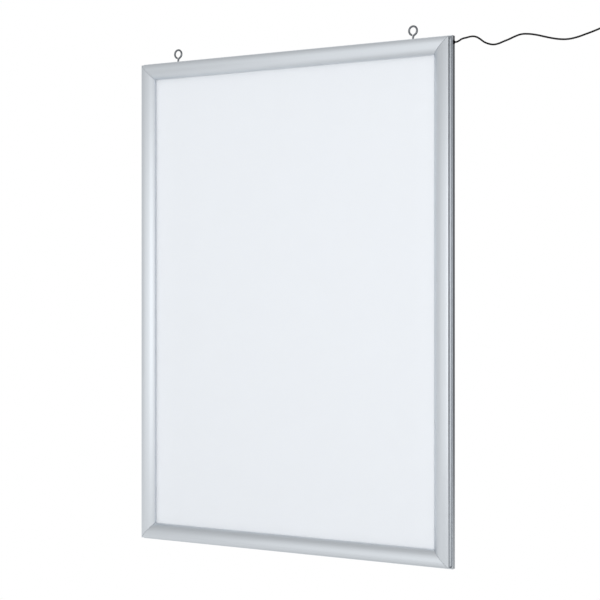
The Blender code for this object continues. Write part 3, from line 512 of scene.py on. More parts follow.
def woven_strap():
    """Black nylon strap: over-and-under weave of 0.6 mm yarn with a dull sheen."""
    nylon = new_material("woven_nylon_strap", "#1B1B1D", 0.7, Sheen_Weight=0.3)
    tree = nylon.node_tree
    yarn = {"Vector": object_place(tree), "Scale": 1 / YARN_WAVE, "Distortion": 0.0}
    ways = ("X", "DIAGONAL")
    waves = [add_node(tree, "ShaderNodeTexWave", yarn, bands_direction=way).outputs["Fac"] for way in ways]
    add_grain(nylon, maths(tree, "MULTIPLY", *waves), 0.00012, tint=0.35)
    return nylon


def arc(centre, radius, start, end, steps):
    """Points on an arc, with both ends."""
    turns = [start + (end - start) * i / steps for i in range(steps + 1)]
    return [(centre[0] + radius * cos(a), centre[1] + radius * sin(a)) for a in turns]


def fillet(before, corner, after, radius):
    """Points that round a corner between two straight stretches."""
    into = (Vector(corner) - Vector(before)).normalized()
    out = (Vector(after) - Vector(corner)).normalized()
    bend = into.angle(out)
    reach = radius * sin(bend / 2) / cos(bend / 2)
    start = Vector(corner) - into * reach
    end = Vector(corner) + out * reach
    centre = Vector(corner) + (out - into).normalized() * hypot(radius, reach)
    spokes = [(start - centre).slerp(end - centre, i / FILLET_STEPS) for i in range(FILLET_STEPS + 1)]
    return [tuple(centre + spoke.normalized() * radius) for spoke in spokes]


def bezier(points, steps):
    """Points on a cubic curve through its first and last control points."""
    a, b, c, d = (Vector(p) for p in points)
    found = []
    for i in range(steps + 1):
        t = i / steps
        r = 1 - t
        found.append(a * r ** 3 + b * 3 * r * r * t + c * 3 * r * t * t + d * t ** 3)
    return found


def crown_v(u, radius):
    """Height of the crown arc of a given radius above the section point u."""
    return CROWN_V + sqrt(radius ** 2 - (u - CROWN_U) ** 2)


def crown_points(start_u, end_u, radius, steps):
    """Points along the crown between two section widths."""
    start = acos((start_u - CROWN_U) / radius)
    end = acos((end_u - CROWN_U) / radius)
    return arc((CROWN_U, CROWN_V), radius, start, end, steps)


def spring_rib(centre_u, radius):
    """Small rib that hangs from the inside of the crown."""
    half = SPRING_RIB / 2
    foot_v = crown_v(SPRING_U, radius) - SPRING_RIB_DEPTH
    return [
        (centre_u - half, crown_v(centre_u - half, radius)),
        (centre_u - half, foot_v),
        (centre_u + half, foot_v),
        (centre_u + half, crown_v(centre_u + half, radius)),
    ]


def rail_outline():
    """Snap rail: hinge bead, skirt, arched crown with two spring ribs, lip and inturned toe."""
    neck = acos(HALF_NECK / BEAD_RADIUS)
    inner_radius = CROWN_RADIUS - RAIL_WALL
    lip_inside = WINDOW_EDGE_U - RAIL_WALL
    ribs = (SPRING_U - SPRING_RIB_OFFSET, SPRING_U + SPRING_RIB_OFFSET)
    toe_v = FOOT_V + RAIL_TOE_HEIGHT
    half_steps = CROWN_STEPS // 2
    outline = arc(HINGE, BEAD_RADIUS, pi - neck, 2 * pi + neck, BEAD_STEPS)
    outline += crown_points(HINGE_U + HALF_NECK, ribs[0] - SPRING_RIB / 2, inner_radius, half_steps)[:-1]
    outline += spring_rib(ribs[0], inner_radius)
    outline += spring_rib(ribs[1], inner_radius)
    outline += crown_points(ribs[1] + SPRING_RIB / 2, lip_inside, inner_radius, half_steps)[1:]
    outline += [
        (lip_inside, toe_v),
        (WINDOW_EDGE_U - RAIL_TOE, toe_v),
        (WINDOW_EDGE_U - RAIL_TOE, FOOT_V),
        (WINDOW_EDGE_U, FOOT_V),
    ]
    crown = crown_points(WINDOW_EDGE_U, RAIL_FACE_U, CROWN_RADIUS, CROWN_STEPS)
    outline += fillet((WINDOW_EDGE_U, FOOT_V), crown[0], crown[1], RAIL_INNER_FILLET)
    outline += crown[2:-2]
    outline += fillet(crown[-2], crown[-1], (RAIL_FACE_U, HINGE_HEIGHT), RAIL_OUTER_FILLET)
    return outline


def base_outline():
    """Base profile: flange, T-slot, hinge socket and inner wall."""
    wall_meets = -acos((BASE_WALL - HINGE_U) / SOCKET_RADIUS)
    slot_lip_u = SLOT_INNER_U - SLOT_LIP
    outline = [
        (0, 0),
        (BASE_FLANGE, 0),
        (BASE_FLANGE, BASE_FLOOR),
        (CHANNEL_U, BASE_FLOOR),
        (CHANNEL_U, WALL_TOP_V),
        (SLOT_INNER_U, WALL_TOP_V),
        (SLOT_INNER_U, SLOT_TOP_V + SLOT_LIP_HEIGHT),
        (slot_lip_u, SLOT_TOP_V + SLOT_LIP_HEIGHT),
        (slot_lip_u, SLOT_TOP_V),
        (SLOT_INNER_U, SLOT_TOP_V),
        (SLOT_INNER_U, BASE_FLOOR),
        (BASE_WALL, BASE_FLOOR),
    ]
    outline += arc(HINGE, SOCKET_RADIUS, wall_meets, INNER_LIP_ANGLE, BEAD_STEPS)
    outline += arc(HINGE, SOCKET_BORE, INNER_LIP_ANGLE, OUTER_LIP_ANGLE - 2 * pi, BEAD_STEPS)
    outline.append((0, HINGE_HEIGHT - NECK_ROOM))
    return outline


def link_up(name, data):
    """Object of its own for a mesh or curve, in the scene."""
    piece = bpy.data.objects.new(name, data)
    bpy.context.scene.collection.objects.link(piece)
    return piece


def plain_mesh(source):
    """Mesh of an object with all that its modifiers make; the object goes."""
    graph = bpy.context.evaluated_depsgraph_get()
    mesh = bpy.data.meshes.new_from_object(source.evaluated_get(graph))
    bpy.data.objects.remove(source, do_unlink=True)
    return mesh


def mesh_of(name, bm):
    """New mesh of what a bmesh holds; the bmesh goes."""
    mesh = bpy.data.meshes.new(name)
    bm.to_mesh(mesh)
    bm.free()
    return mesh


def bridge(bm, near, far, count):
    """Faces between two rings of points, either of which may be a single point."""
    for i in range(count):
        j = (i + 1) % count
        corners = [near[i % len(near)], near[j % len(near)], far[j % len(far)], far[i % len(far)]]
        bm.faces.new(list(dict.fromkeys(corners)))


def capped(bm, rings, count):
    """Closed tube over a row of rings."""
    for near, far in zip(rings, rings[1:]):
        bridge(bm, near, far, count)
    bm.faces.new(rings[0][::-1])
    bm.faces.new(rings[-1])
    return bm


def facing_out(mesh):
    """Weld a closed mesh and turn its faces outward."""
    bm = bmesh.new()
    bm.from_mesh(mesh)
    bmesh.ops.remove_doubles(bm, verts=bm.verts, dist=WELD)
    bmesh.ops.recalc_face_normals(bm, faces=bm.faces)
    bm.to_mesh(mesh)
    bm.free()
    return mesh


def add_piece(name, mesh, materials, body, nodes):
    """Finished piece that stands for solids of the frame and moves with a body."""
    piece = link_up(name, mesh)
    if not mesh.materials:
        for material in materials:
            mesh.materials.append(material)
    mesh.shade_smooth()
    mesh.set_sharp_from_angle(angle=SHARP_ANGLE)
    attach(piece, body)
    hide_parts(*nodes)
    return piece


def dress(names, material, edge=0.0):
    """Give solids of the frame a material, and round their sharp edges."""
    for name in names:
        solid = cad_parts[name]
        for holder in solid.material_slots:
            holder.material = material
        if edge:
            weld = solid.modifiers.new("weld", "WELD")
            weld.merge_threshold = SOLID_WELD
            add_bevel(solid, edge)


def add_bevel(piece, edge):
    """Round the sharp edges of a piece."""
    bevel = piece.modifiers.new("edges", "BEVEL")
    bevel.width = edge
    bevel.segments = 2
    bevel.limit_method = "ANGLE"
    bevel.angle_limit = EDGE_ANGLE


def middle(node):
    """Centre of a solid's box."""
    low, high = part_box(node)
    return (low + high) / 2


def node_names(start):
    """Names of the frame's solids that begin alike."""
    return sorted(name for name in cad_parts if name.startswith(start))


def side_place(side, u=0.0, v=0.0):
    """Place of the section point (u, v) at mid-length of a side, with the side's own axes."""
    turn, _, distance = SIDES[side]
    inset = Matrix.Rotation(turn, 3, "Y") @ Vector((0, BACK_Y - v, u - distance))
    return Matrix.Translation(inset + Vector((0, 0, CENTRE_Z))) @ Matrix.Rotation(turn, 4, "Y")


def new_tree(name, inputs):
    """Geometry tree with a geometry and named inputs; gives the tree and its input node."""
    tree = bpy.data.node_groups.new(name, "GeometryNodeTree")
    tree.interface.new_socket("Geometry", in_out="INPUT", socket_type="NodeSocketGeometry")
    for label, kind in inputs:
        tree.interface.new_socket(label, in_out="INPUT", socket_type="NodeSocket" + kind)
    tree.interface.new_socket("Geometry", in_out="OUTPUT", socket_type="NodeSocketGeometry")
    return tree, add_node(tree, "NodeGroupInput")


def end_tree(tree, geometry, material, lens=None, pads=None):
    """End a tree in plain faces with their materials."""
    real = add_node(tree, "GeometryNodeRealizeInstances", {"Geometry": geometry})
    done = add_node(tree, "GeometryNodeSetMaterial", {"Geometry": real.outputs[0], "Material": material})
    for marked, finish in (("lens", lens), ("pad", pads)):
        if finish:
            named = add_node(tree, "GeometryNodeInputNamedAttribute", {"Name": marked}, data_type="BOOLEAN")
            chosen = {"Geometry": done.outputs[0], "Selection": named.outputs[0], "Material": finish}
            done = add_node(tree, "GeometryNodeSetMaterial", chosen)
    add_node(tree, "NodeGroupOutput", {"Geometry": done.outputs[0]})


def profile_tree():
    """Tree that draws a flat section out along X and cuts both ends at 45 degrees."""
    name = "mitred_profile"
    if name in bpy.data.node_groups:
        return bpy.data.node_groups[name]
    sizes = (("Half Length", "Float"), ("Corner Inset", "Float"), ("Material", "Material"))
    tree, given = new_tree(name, sizes)
    face = given.outputs["Geometry"]
    drawn = {"Mesh": face, "Offset": (1, 0, 0), "Offset Scale": 1.0, "Individual": False}
    pulled = add_node(tree, "GeometryNodeExtrudeMesh", drawn)
    turned = add_node(tree, "GeometryNodeFlipFaces", {0: face})
    both = add_node(tree, "GeometryNodeJoinGeometry", {0: pulled.outputs["Mesh"]})
    tree.links.new(turned.outputs[0], both.inputs[0])
    joined = {"Geometry": both.outputs[0], "Distance": WELD}
    closed = add_node(tree, "GeometryNodeMergeByDistance", joined)
    axes = split(tree, add_node(tree, "GeometryNodeInputPosition").outputs[0])
    height = maths(tree, "ADD", given.outputs["Corner Inset"], axes["Z"])
    reach = maths(tree, "SUBTRACT", given.outputs["Half Length"], height)
    ends = maths(tree, "MULTIPLY_ADD", axes["X"], 2.0, -1.0)
    moved = {"X": maths(tree, "MULTIPLY", ends, reach), "Y": axes["Y"], "Z": axes["Z"]}
    spot = add_node(tree, "ShaderNodeCombineXYZ", moved)
    bar = {"Geometry": closed.outputs[0], "Position": spot.outputs[0]}
    shaped = add_node(tree, "GeometryNodeSetPosition", bar)
    end_tree(tree, shaped.outputs[0], given.outputs["Material"])
    return tree


def row_tree():
    """Tree that repeats one chip evenly along X, in its three materials."""
    sizes = (
        ("Count", "Int"), ("Pitch", "Float"),
        ("Body Material", "Material"), ("Lens Material", "Material"), ("Pad Material", "Material"),
    )
    tree, given = new_tree("chip_row", sizes)
    step = add_node(tree, "ShaderNodeCombineXYZ", {"X": given.outputs["Pitch"]})
    line = {"Count": given.outputs["Count"], "Offset": step.outputs[0]}
    places = add_node(tree, "GeometryNodeMeshLine", line, mode="OFFSET")
    on_all = {"Points": places.outputs[0], "Instance": given.outputs["Geometry"]}
    repeated = add_node(tree, "GeometryNodeInstanceOnPoints", on_all)
    end_tree(
        tree, repeated.outputs[0], given.outputs["Body Material"],
        given.outputs["Lens Material"], given.outputs["Pad Material"],
    )
    return tree


def places_tree():
    """Tree that sets one screw on every given point."""
    tree, given = new_tree("screws_on_places", (("Screw", "Object"), ("Material", "Material")))
    pattern = {"Object": given.outputs["Screw"], "As Instance": True}
    screw = add_node(tree, "GeometryNodeObjectInfo", pattern)
    on_all = {"Points": given.outputs["Geometry"], "Instance": screw.outputs["Geometry"]}
    repeated = add_node(tree, "GeometryNodeInstanceOnPoints", on_all)
    end_tree(tree, repeated.outputs[0], given.outputs["Material"])
    return tree


def grown(name, mesh, tree, values):
    """Plain mesh that a geometry tree makes from a starting mesh."""
    start = link_up(name, mesh)
    grower = start.modifiers.new(name, "NODES")
    grower.node_group = tree
    for item in tree.interface.items_tree:
        if item.in_out == "INPUT" and item.name in values:
            grower[item.identifier] = values[item.name]
    return plain_mesh(start)


def flat_section(name, outline, origin=(0, 0)):
    """Flat face of a section, in a side's own axes about a section point."""
    bm = bmesh.new()
    bm.faces.new([bm.verts.new((0, origin[1] - v, u - origin[0])) for u, v in outline])
    return mesh_of(name, bm)


def add_box(bm, size, centre):
    """Add a box to a bmesh; gives its corners."""
    corners = bmesh.ops.create_cube(bm, size=1)["verts"]
    bmesh.ops.scale(bm, vec=size, verts=corners)
    bmesh.ops.translate(bm, vec=centre, verts=corners)
    return corners


def boxes(name, sizes_and_centres):
    """Mesh of one or more boxes."""
    bm = bmesh.new()
    for size, centre in sizes_and_centres:
        add_box(bm, size, centre)
    return mesh_of(name, bm)


def drill_mesh(name, radius, depth, place, turn):
    """Round cutter, turned about Y, at a place."""
    bm = bmesh.new()
    bmesh.ops.create_cone(
        bm, segments=LATHE_SIDES, radius1=radius, radius2=radius, depth=depth, cap_ends=True,
    )
    mesh = mesh_of(name, bm)
    mesh.transform(Matrix.Translation(place) @ Matrix.Rotation(turn, 4, "Y"))
    return mesh


def carved(name, mesh, cutters, edge):
    """Mesh with the cutters taken away and its sharp edges rounded."""
    start = link_up(name, mesh)
    shapes = [link_up(name + "_cutter", shape) for shape in cutters]
    for shape in shapes:
        shape.hide_render = True
        cut = start.modifiers.new(shape.name, "BOOLEAN")
        cut.operation = "DIFFERENCE"
        cut.solver = "EXACT"
        cut.object = shape
    if edge:
        add_bevel(start, edge)
    result = plain_mesh(start)
    for shape in shapes:
        bpy.data.objects.remove(shape, do_unlink=True)
    return facing_out(result)


def profile_bar(name, side, outline, material, origin=(0, 0)):
    """Mitred bar of a section, in the side's own axes about a section point."""
    values = {
        "Half Length": SIDES[side][1],
        "Corner Inset": origin[0] + MITRE_GAP / sqrt(2),
        "Material": material,
    }
    return facing_out(grown(name, flat_section(name, outline, origin), profile_tree(), values))


def bead_notches(half_length):
    """Boxes that end the hinge bead short of the mitre, so that neighbouring rails can open."""
    inner_end = half_length - HINGE_U - BEAD_SETBACK
    outer_end = half_length + OVERRUN
    wide = BEAD_RADIUS + OVERRUN
    size = (outer_end - inner_end, SOCKET_BORE + wide, 2 * wide)
    centre = (inner_end + outer_end) / 2
    return boxes("notches", [(size, (s * centre, (wide - SOCKET_BORE) / 2, 0)) for s in (-1, 1)])


def lathe(name, profile, ripple=None):
    """Mesh turned about Z from (radius, z) points; ripple(angle, z) trims the radius."""
    bm = bmesh.new()
    rings = []
    for r, z in profile:
        if r == 0:
            rings.append([bm.verts.new((0, 0, z))])
            continue
        ring = []
        for i in range(LATHE_SIDES):
            angle = 2 * pi * i / LATHE_SIDES
            trimmed = r - (ripple(angle, r, z) if ripple else 0)
            ring.append(bm.verts.new((trimmed * cos(angle), trimmed * sin(angle), z)))
        rings.append(ring)
    pairs = list(zip(rings, rings[1:]))
    if len(rings[0]) > 1 and len(rings[-1]) > 1:
        pairs.append((rings[-1], rings[0]))
    for near, far in pairs:
        bridge(bm, near, far, LATHE_SIDES)
    return facing_out(mesh_of(name, bm))


def eased(profile, radius):
    """Profile whose inner corners are rounded."""
    points = [profile[0]]
    for before, corner, after in zip(profile, profile[1:], profile[2:]):
        into = Vector(corner) - Vector(before)
        out = Vector(after) - Vector(corner)
        room = min(into.length, out.length) * EASED_SHARE
        bend = into.angle(out)
        if bend < EDGE_ANGLE / 2:
            points.append(corner)
            continue
        fit = min(radius, room * cos(bend / 2) / sin(bend / 2))
        points += fillet(before, corner, after, fit)
    return points + [profile[-1]]


def sweep(name, route, radius, sides, cut):
    """Closed round tube along a route, eased at both ends; cut(angle, point) trims its radius."""
    points = [Vector(p) for p in route]
    ease = radius * EASE_SHARE
    points.insert(1, points[0] + (points[1] - points[0]).normalized() * ease)
    points.insert(-1, points[-1] + (points[-2] - points[-1]).normalized() * ease)
    bm = bmesh.new()
    nexts = [*points[1:], points[-1]]
    befores = [points[0], *points[:-1]]
    tangents = [(after - before).normalized() for before, after in zip(befores, nexts)]
    across = tangents[0].orthogonal().normalized()
    rings = []
    for i, (point, ahead) in enumerate(zip(points, tangents)):
        if i:
            across = tangents[i - 1].rotation_difference(ahead) @ across
        other = ahead.cross(across)
        base = radius - ease if i in (0, len(points) - 1) else radius
        ring = []
        for k in range(sides):
            angle = 2 * pi * k / sides
            r = base - cut(angle, point)
            ring.append(bm.verts.new(point + (across * cos(angle) + other * sin(angle)) * r))
        rings.append(ring)
    return facing_out(mesh_of(name, capped(bm, rings, sides)))


def eye_route():
    """Centre line of a bent-wire eye: threaded shank, shoulder, a bend to the right and the ring."""
    foot_z = TOP_Z - EYE_SHANK
    steps = round(EYE_SHANK / THREAD_PITCH * THREAD_STEPS)
    shank = [Vector((0, 0, foot_z + EYE_SHANK * i / steps)) for i in range(steps + 1)]
    shank.append(Vector((0, 0, SHOULDER_Z)))
    shank.append(Vector((0, 0, SHOULDER_Z + (EYE_WIRE - EYE_THREAD) / 2)))
    neck = Vector((0, 0, -EYE_RADIUS - EYE_WIRE * EYE_NECK_SHARE))
    join_turn = -pi / 2 + EYE_JOIN_TURN
    join = Vector((cos(join_turn), 0, sin(join_turn))) * EYE_RADIUS
    along = Vector((-sin(join_turn), 0, cos(join_turn))) * EYE_WIRE * EYE_HANDLE_SHARE
    rise = Vector((0, 0, EYE_WIRE * EYE_HANDLE_SHARE))
    bend = bezier((neck, neck + rise, join - along, join), FILLET_STEPS * 2)
    ring = arc((0, 0), EYE_RADIUS, join_turn, 1.5 * pi - EYE_STOP_TURN, LATHE_SIDES)
    return shank + bend[:-1] + [Vector((x, 0, z)) for x, z in ring]


def shank_cut(angle, point):
    """How far the shank of an eye lies inside the wire's own surface, with its thread."""
    thinner = (EYE_WIRE - EYE_THREAD) / 2
    if point.z > TOP_Z:
        return thinner if point.z < SHOULDER_Z + CLEARANCE / 2 else 0
    turn = (point.z / THREAD_PITCH + angle / (2 * pi)) % 1
    return thinner + THREAD_DEPTH * abs(2 * turn - 1)


def coil_height(turns):
    """How many layers the coil has climbed, in the half turn at each reversal."""
    level = 0
    for reversal in range(1, COIL_LAYERS):
        since = turns - reversal * TURNS_PER_LAYER
        share = min(1, max(0, since / COIL_CLIMB_TURNS + 0.5))
        level += share * share * (3 - 2 * share)
    return level


def coil_turns():
    """Points on the coil's turns: in, out, in and out again over four layers."""
    points = []
    for i in range(round(COIL_LAYERS * TURNS_PER_LAYER * POINTS_PER_TURN) + 1):
        turns = i / POINTS_PER_TURN
        passed = turns % (2 * TURNS_PER_LAYER)
        radius = COIL_OUTER_RADIUS - COIL_TURN_PITCH * min(passed, 2 * TURNS_PER_LAYER - passed)
        angle = -2 * pi * turns
        forward = coil_height(turns) * COIL_LAYER_PITCH
        points.append(Vector(COIL_CENTRE) + Vector((radius * cos(angle), -forward, radius * sin(angle))))
    return points


class SNAPFRAME_OT_rails(bpy.types.Operator):
    """Make the four hinged rails from their section, with mitred ends"""

    bl_idname = "snapframe.rails"
    bl_label = "Rails"

    def execute(self, context):
        look = context.scene.snap_frame_look
        for side, (_, half_length, _) in SIDES.items():
            name = f"{side}_snap_rail"
            metal = anodised_aluminium(look, side in UPRIGHTS)
            bar = profile_bar(name, side, rail_outline(), metal, HINGE)
            mesh = carved(name, bar, [bead_notches(half_length)], look.edge_round)
            mesh.transform(side_place(side, *HINGE))
            add_piece(name, mesh, [metal], f"{side}_rail", [f"{side}_rail"])
        return {"FINISHED"}


class SNAPFRAME_OT_base(bpy.types.Operator):
    """Make the four fixed base profiles, with the holes for the eyes and the grommet"""

    bl_idname = "snapframe.base"
    bl_label = "Base Profiles"

    def execute(self, context):
        look = context.scene.snap_frame_look
        for side in SIDES:
            name = f"{side}_base_profile"
            metal = anodised_aluminium(look, side in UPRIGHTS)
            bar = profile_bar(name, side, base_outline(), metal)
            bar.transform(side_place(side))
            mesh = carved(name, bar, self.drills(side), look.edge_round)
            add_piece(name, mesh, [metal], "frame", [f"base_{side}"])
        return {"FINISHED"}

    def drills(self, side):
        """Cutters for the round holes through one side's outer wall."""
        depth = 2 * (BASE_WALL + OVERRUN)
        if side == "top":
            radius = EYE_THREAD / 2 + CLEARANCE
            places = [(middle(bolt).x, 0, TOP_Z) for bolt in node_names("eye_bolt")]
            return [drill_mesh("hole", radius, depth, place, 0) for place in places]
        if side == "right":
            place = (HALF_WIDTH, 0, middle("cord_grommet").z)
            return [drill_mesh("hole", GROMMET_NECK_RADIUS + CLEARANCE, depth, place, pi / 2)]
        return []


class SNAPFRAME_OT_springs(bpy.types.Operator):
    """Finish the bowed leaf springs under the rails"""

    bl_idname = "snapframe.springs"
    bl_label = "Leaf Springs"

    def execute(self, context):
        names = [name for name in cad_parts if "_spring_" in name]
        dress(names, spring_steel(), SPRING_EDGE)
        return {"FINISHED"}


class SNAPFRAME_OT_corners(bpy.types.Operator):
    """Finish the corner keys and make their socket screws"""

    bl_idname = "snapframe.corners"
    bl_label = "Corner Keys"

    def execute(self, context):
        dress(node_names("corner_key"), cast_zinc(), CAST_EDGE)
        names = node_names("key_screw")
        low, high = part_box(names[0])
        half = (high.y - low.y) / 2
        places = bpy.data.meshes.new("screw_places")
        places.from_pydata([middle(name) for name in names], [], [])
        screw = link_up("screw_pattern", self.screw_mesh(half))
        steel = black_oxide()
        mesh = grown("grub_screws", places, places_tree(), {"Screw": screw, "Material": steel})
        bpy.data.objects.remove(screw, do_unlink=True)
        add_piece("grub_screws", mesh, [steel], "frame", names)
        return {"FINISHED"}

    def screw_mesh(self, half):
        """Grub screw with a threaded side and a six-sided socket that looks forward."""
        count = int(2 * half / SCREW_PITCH)
        root = SCREW_RADIUS - SCREW_THREAD
        profile = [(0, -half), (root, -half)]
        for i in range(count):
            z = -half + (i + 0.25) * 2 * half / count
            profile += [(SCREW_RADIUS, z), (root, z + half / count)]
        rim = SCREW_SOCKET * SCREW_RIM_SHARE
        floor = half - SCREW_SOCKET_DEPTH
        profile += [
            (rim + SCREW_THREAD, half), (rim, half), (SCREW_SOCKET, half - SCREW_THREAD),
            (SCREW_SOCKET, floor), (0, floor),
        ]

        def hexagon(angle, r, _):
            if r > SCREW_SOCKET:
                return 0
            part = (angle % (pi / 3)) - pi / 6
            return r - r * cos(pi / 6) / cos(part)

        mesh = lathe("screw_pattern", profile, hexagon)
        mesh.transform(Matrix.Rotation(pi / 2, 4, "X"))
        return mesh


class SNAPFRAME_OT_sheets(bpy.types.Operator):
    """Finish the stack of sheets, from the back panel to the clear cover"""

    bl_idname = "snapframe.sheets"
    bl_label = "Sheets"

    def execute(self, context):
        look = context.scene.snap_frame_look
        dress(["back_panel"], coated_sheet(look), PANEL_EDGE)
        dress(["reflector_sheet"], reflector_film())
        dress(["light_guide_panel"], light_guide(look), CLEAR_EDGE)
        dress(["diffuser_sheet"], opal_acrylic(look), OPAL_EDGE)
        dress(["cover_sheet"], clear_cover(), CLEAR_EDGE)
        return {"FINISHED"}


class SNAPFRAME_OT_lights(bpy.types.Operator):
    """Make the two light-emitting strips with their rows of chips"""

    bl_idname = "snapframe.lights"
    bl_label = "Light-Emitting Strips"

    def execute(self, context):
        # Dull white housing, yellow gel that shines like glass, dull tin, and an even white board
        body = noise_grain(new_material("white_chip_housing", "#EDEDEA", 0.4), 0.0004, 0.000005, 0.02)
        gel = new_material("phosphor_gel", "#E8C94A", 0.18, IOR=1.45, Coat_Weight=0.6)
        lens = noise_grain(gel, 0.0003, 0.00001, 0.08)
        tin = noise_grain(new_material("tinned_pad", "#B9BCBD", 0.3, 1.0), 0.0005, 0.00002, 0.1)
        board_coat = new_material("white_solder_mask", "#E9ECE9", 0.35)
        mask = noise_grain(board_coat, (0.002, 0.002, 0.006), 0.00001, 0.03)
        tree = row_tree()
        for side in ("left", "right"):
            low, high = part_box("led_strip_" + side)
            length = high.z - low.z
            width = high.y - low.y
            count = int(length / CHIP_PITCH)
            values = {
                "Count": count, "Pitch": CHIP_PITCH,
                "Body Material": body, "Lens Material": lens, "Pad Material": tin,
            }
            row = grown("chip_row", self.chip_mesh(), tree, values)
            row.transform(Matrix.Translation((-(count - 1) * CHIP_PITCH / 2, 0, BOARD_THICKNESS / 2)))
            board = boxes("board", [((length, width, BOARD_THICKNESS), (0, 0, 0))])
            board.materials.append(mask)
            mesh = self.merged(row, carved("board", board, [], BOARD_EDGE))
            outer = abs(low.x) if side == "left" else high.x
            u = HALF_WIDTH - outer + BOARD_THICKNESS / 2
            mesh.transform(side_place(side, u, BACK_Y - (low.y + high.y) / 2))
            name = f"{side}_chip_strip"
            add_piece(name, mesh, [], "frame", ["led_strip_" + side])
        return {"FINISHED"}

    def chip_mesh(self):
        """One chip with a sunk lens, two tinned pads and a small resistor beside it."""
        bm = bmesh.new()
        lens_mark = bm.faces.layers.bool.new("lens")
        pad_mark = bm.faces.layers.bool.new("pad")
        for end in (-1, 1):
            place = (end * (CHIP_LENGTH + PAD_LENGTH) / 2, 0, PAD_HEIGHT / 2)
            add_box(bm, (PAD_LENGTH, PAD_WIDTH, PAD_HEIGHT), place)
        for face in bm.faces:
            face[pad_mark] = True
        body = add_box(bm, (CHIP_LENGTH, CHIP_WIDTH, CHIP_HEIGHT), (0, 0, CHIP_HEIGHT / 2))
        top = max((f for v in body for f in v.link_faces), key=lambda f: f.calc_center_median().z)
        bmesh.ops.inset_region(bm, faces=[top], thickness=LENS_INSET, depth=0)
        bmesh.ops.inset_region(bm, faces=[top], thickness=LENS_SLOPE, depth=-LENS_DEPTH)
        top[lens_mark] = True
        add_box(bm, RESISTOR_SIZE, (CHIP_PITCH / 2, 0, RESISTOR_SIZE[2] / 2))
        return mesh_of("chip", bm)

    def merged(self, row, board):
        """The row of chips and its board as one mesh."""
        parts = [link_up("row", row), link_up("board", board)]
        with bpy.context.temp_override(active_object=parts[0], selected_editable_objects=parts):
            bpy.ops.object.join()
        mesh = parts[0].data
        bpy.data.objects.remove(parts[0], do_unlink=True)
        return mesh


class SNAPFRAME_OT_leads(bpy.types.Operator):
    """Finish the two thin leads inside the frame"""

    bl_idname = "snapframe.leads"
    bl_label = "Inner Leads"

    def execute(self, context):
        white = soft_plastic("white_lead_insulation", "#E4E4E2", 0.45, 0.001)
        dress(["supply_lead", "linking_lead"], white)
        return {"FINISHED"}


class SNAPFRAME_OT_eyes(bpy.types.Operator):
    """Make the two bent-wire hanging eyes and finish their nuts"""

    bl_idname = "snapframe.eyes"
    bl_label = "Hanging Eyes"

    def execute(self, context):
        plate = zinc_plate()
        for node in node_names("eye_bolt"):
            mesh = sweep(node, eye_route(), EYE_WIRE / 2, EYE_SIDES, shank_cut)
            mesh.transform(Matrix.Translation((middle(node).x, 0, 0)))
            name = node.replace("bolt", "wire")
            add_piece(name, mesh, [plate], "frame", [node])
        dress(node_names("hanger_nut"), plate, CAST_EDGE)
        return {"FINISHED"}


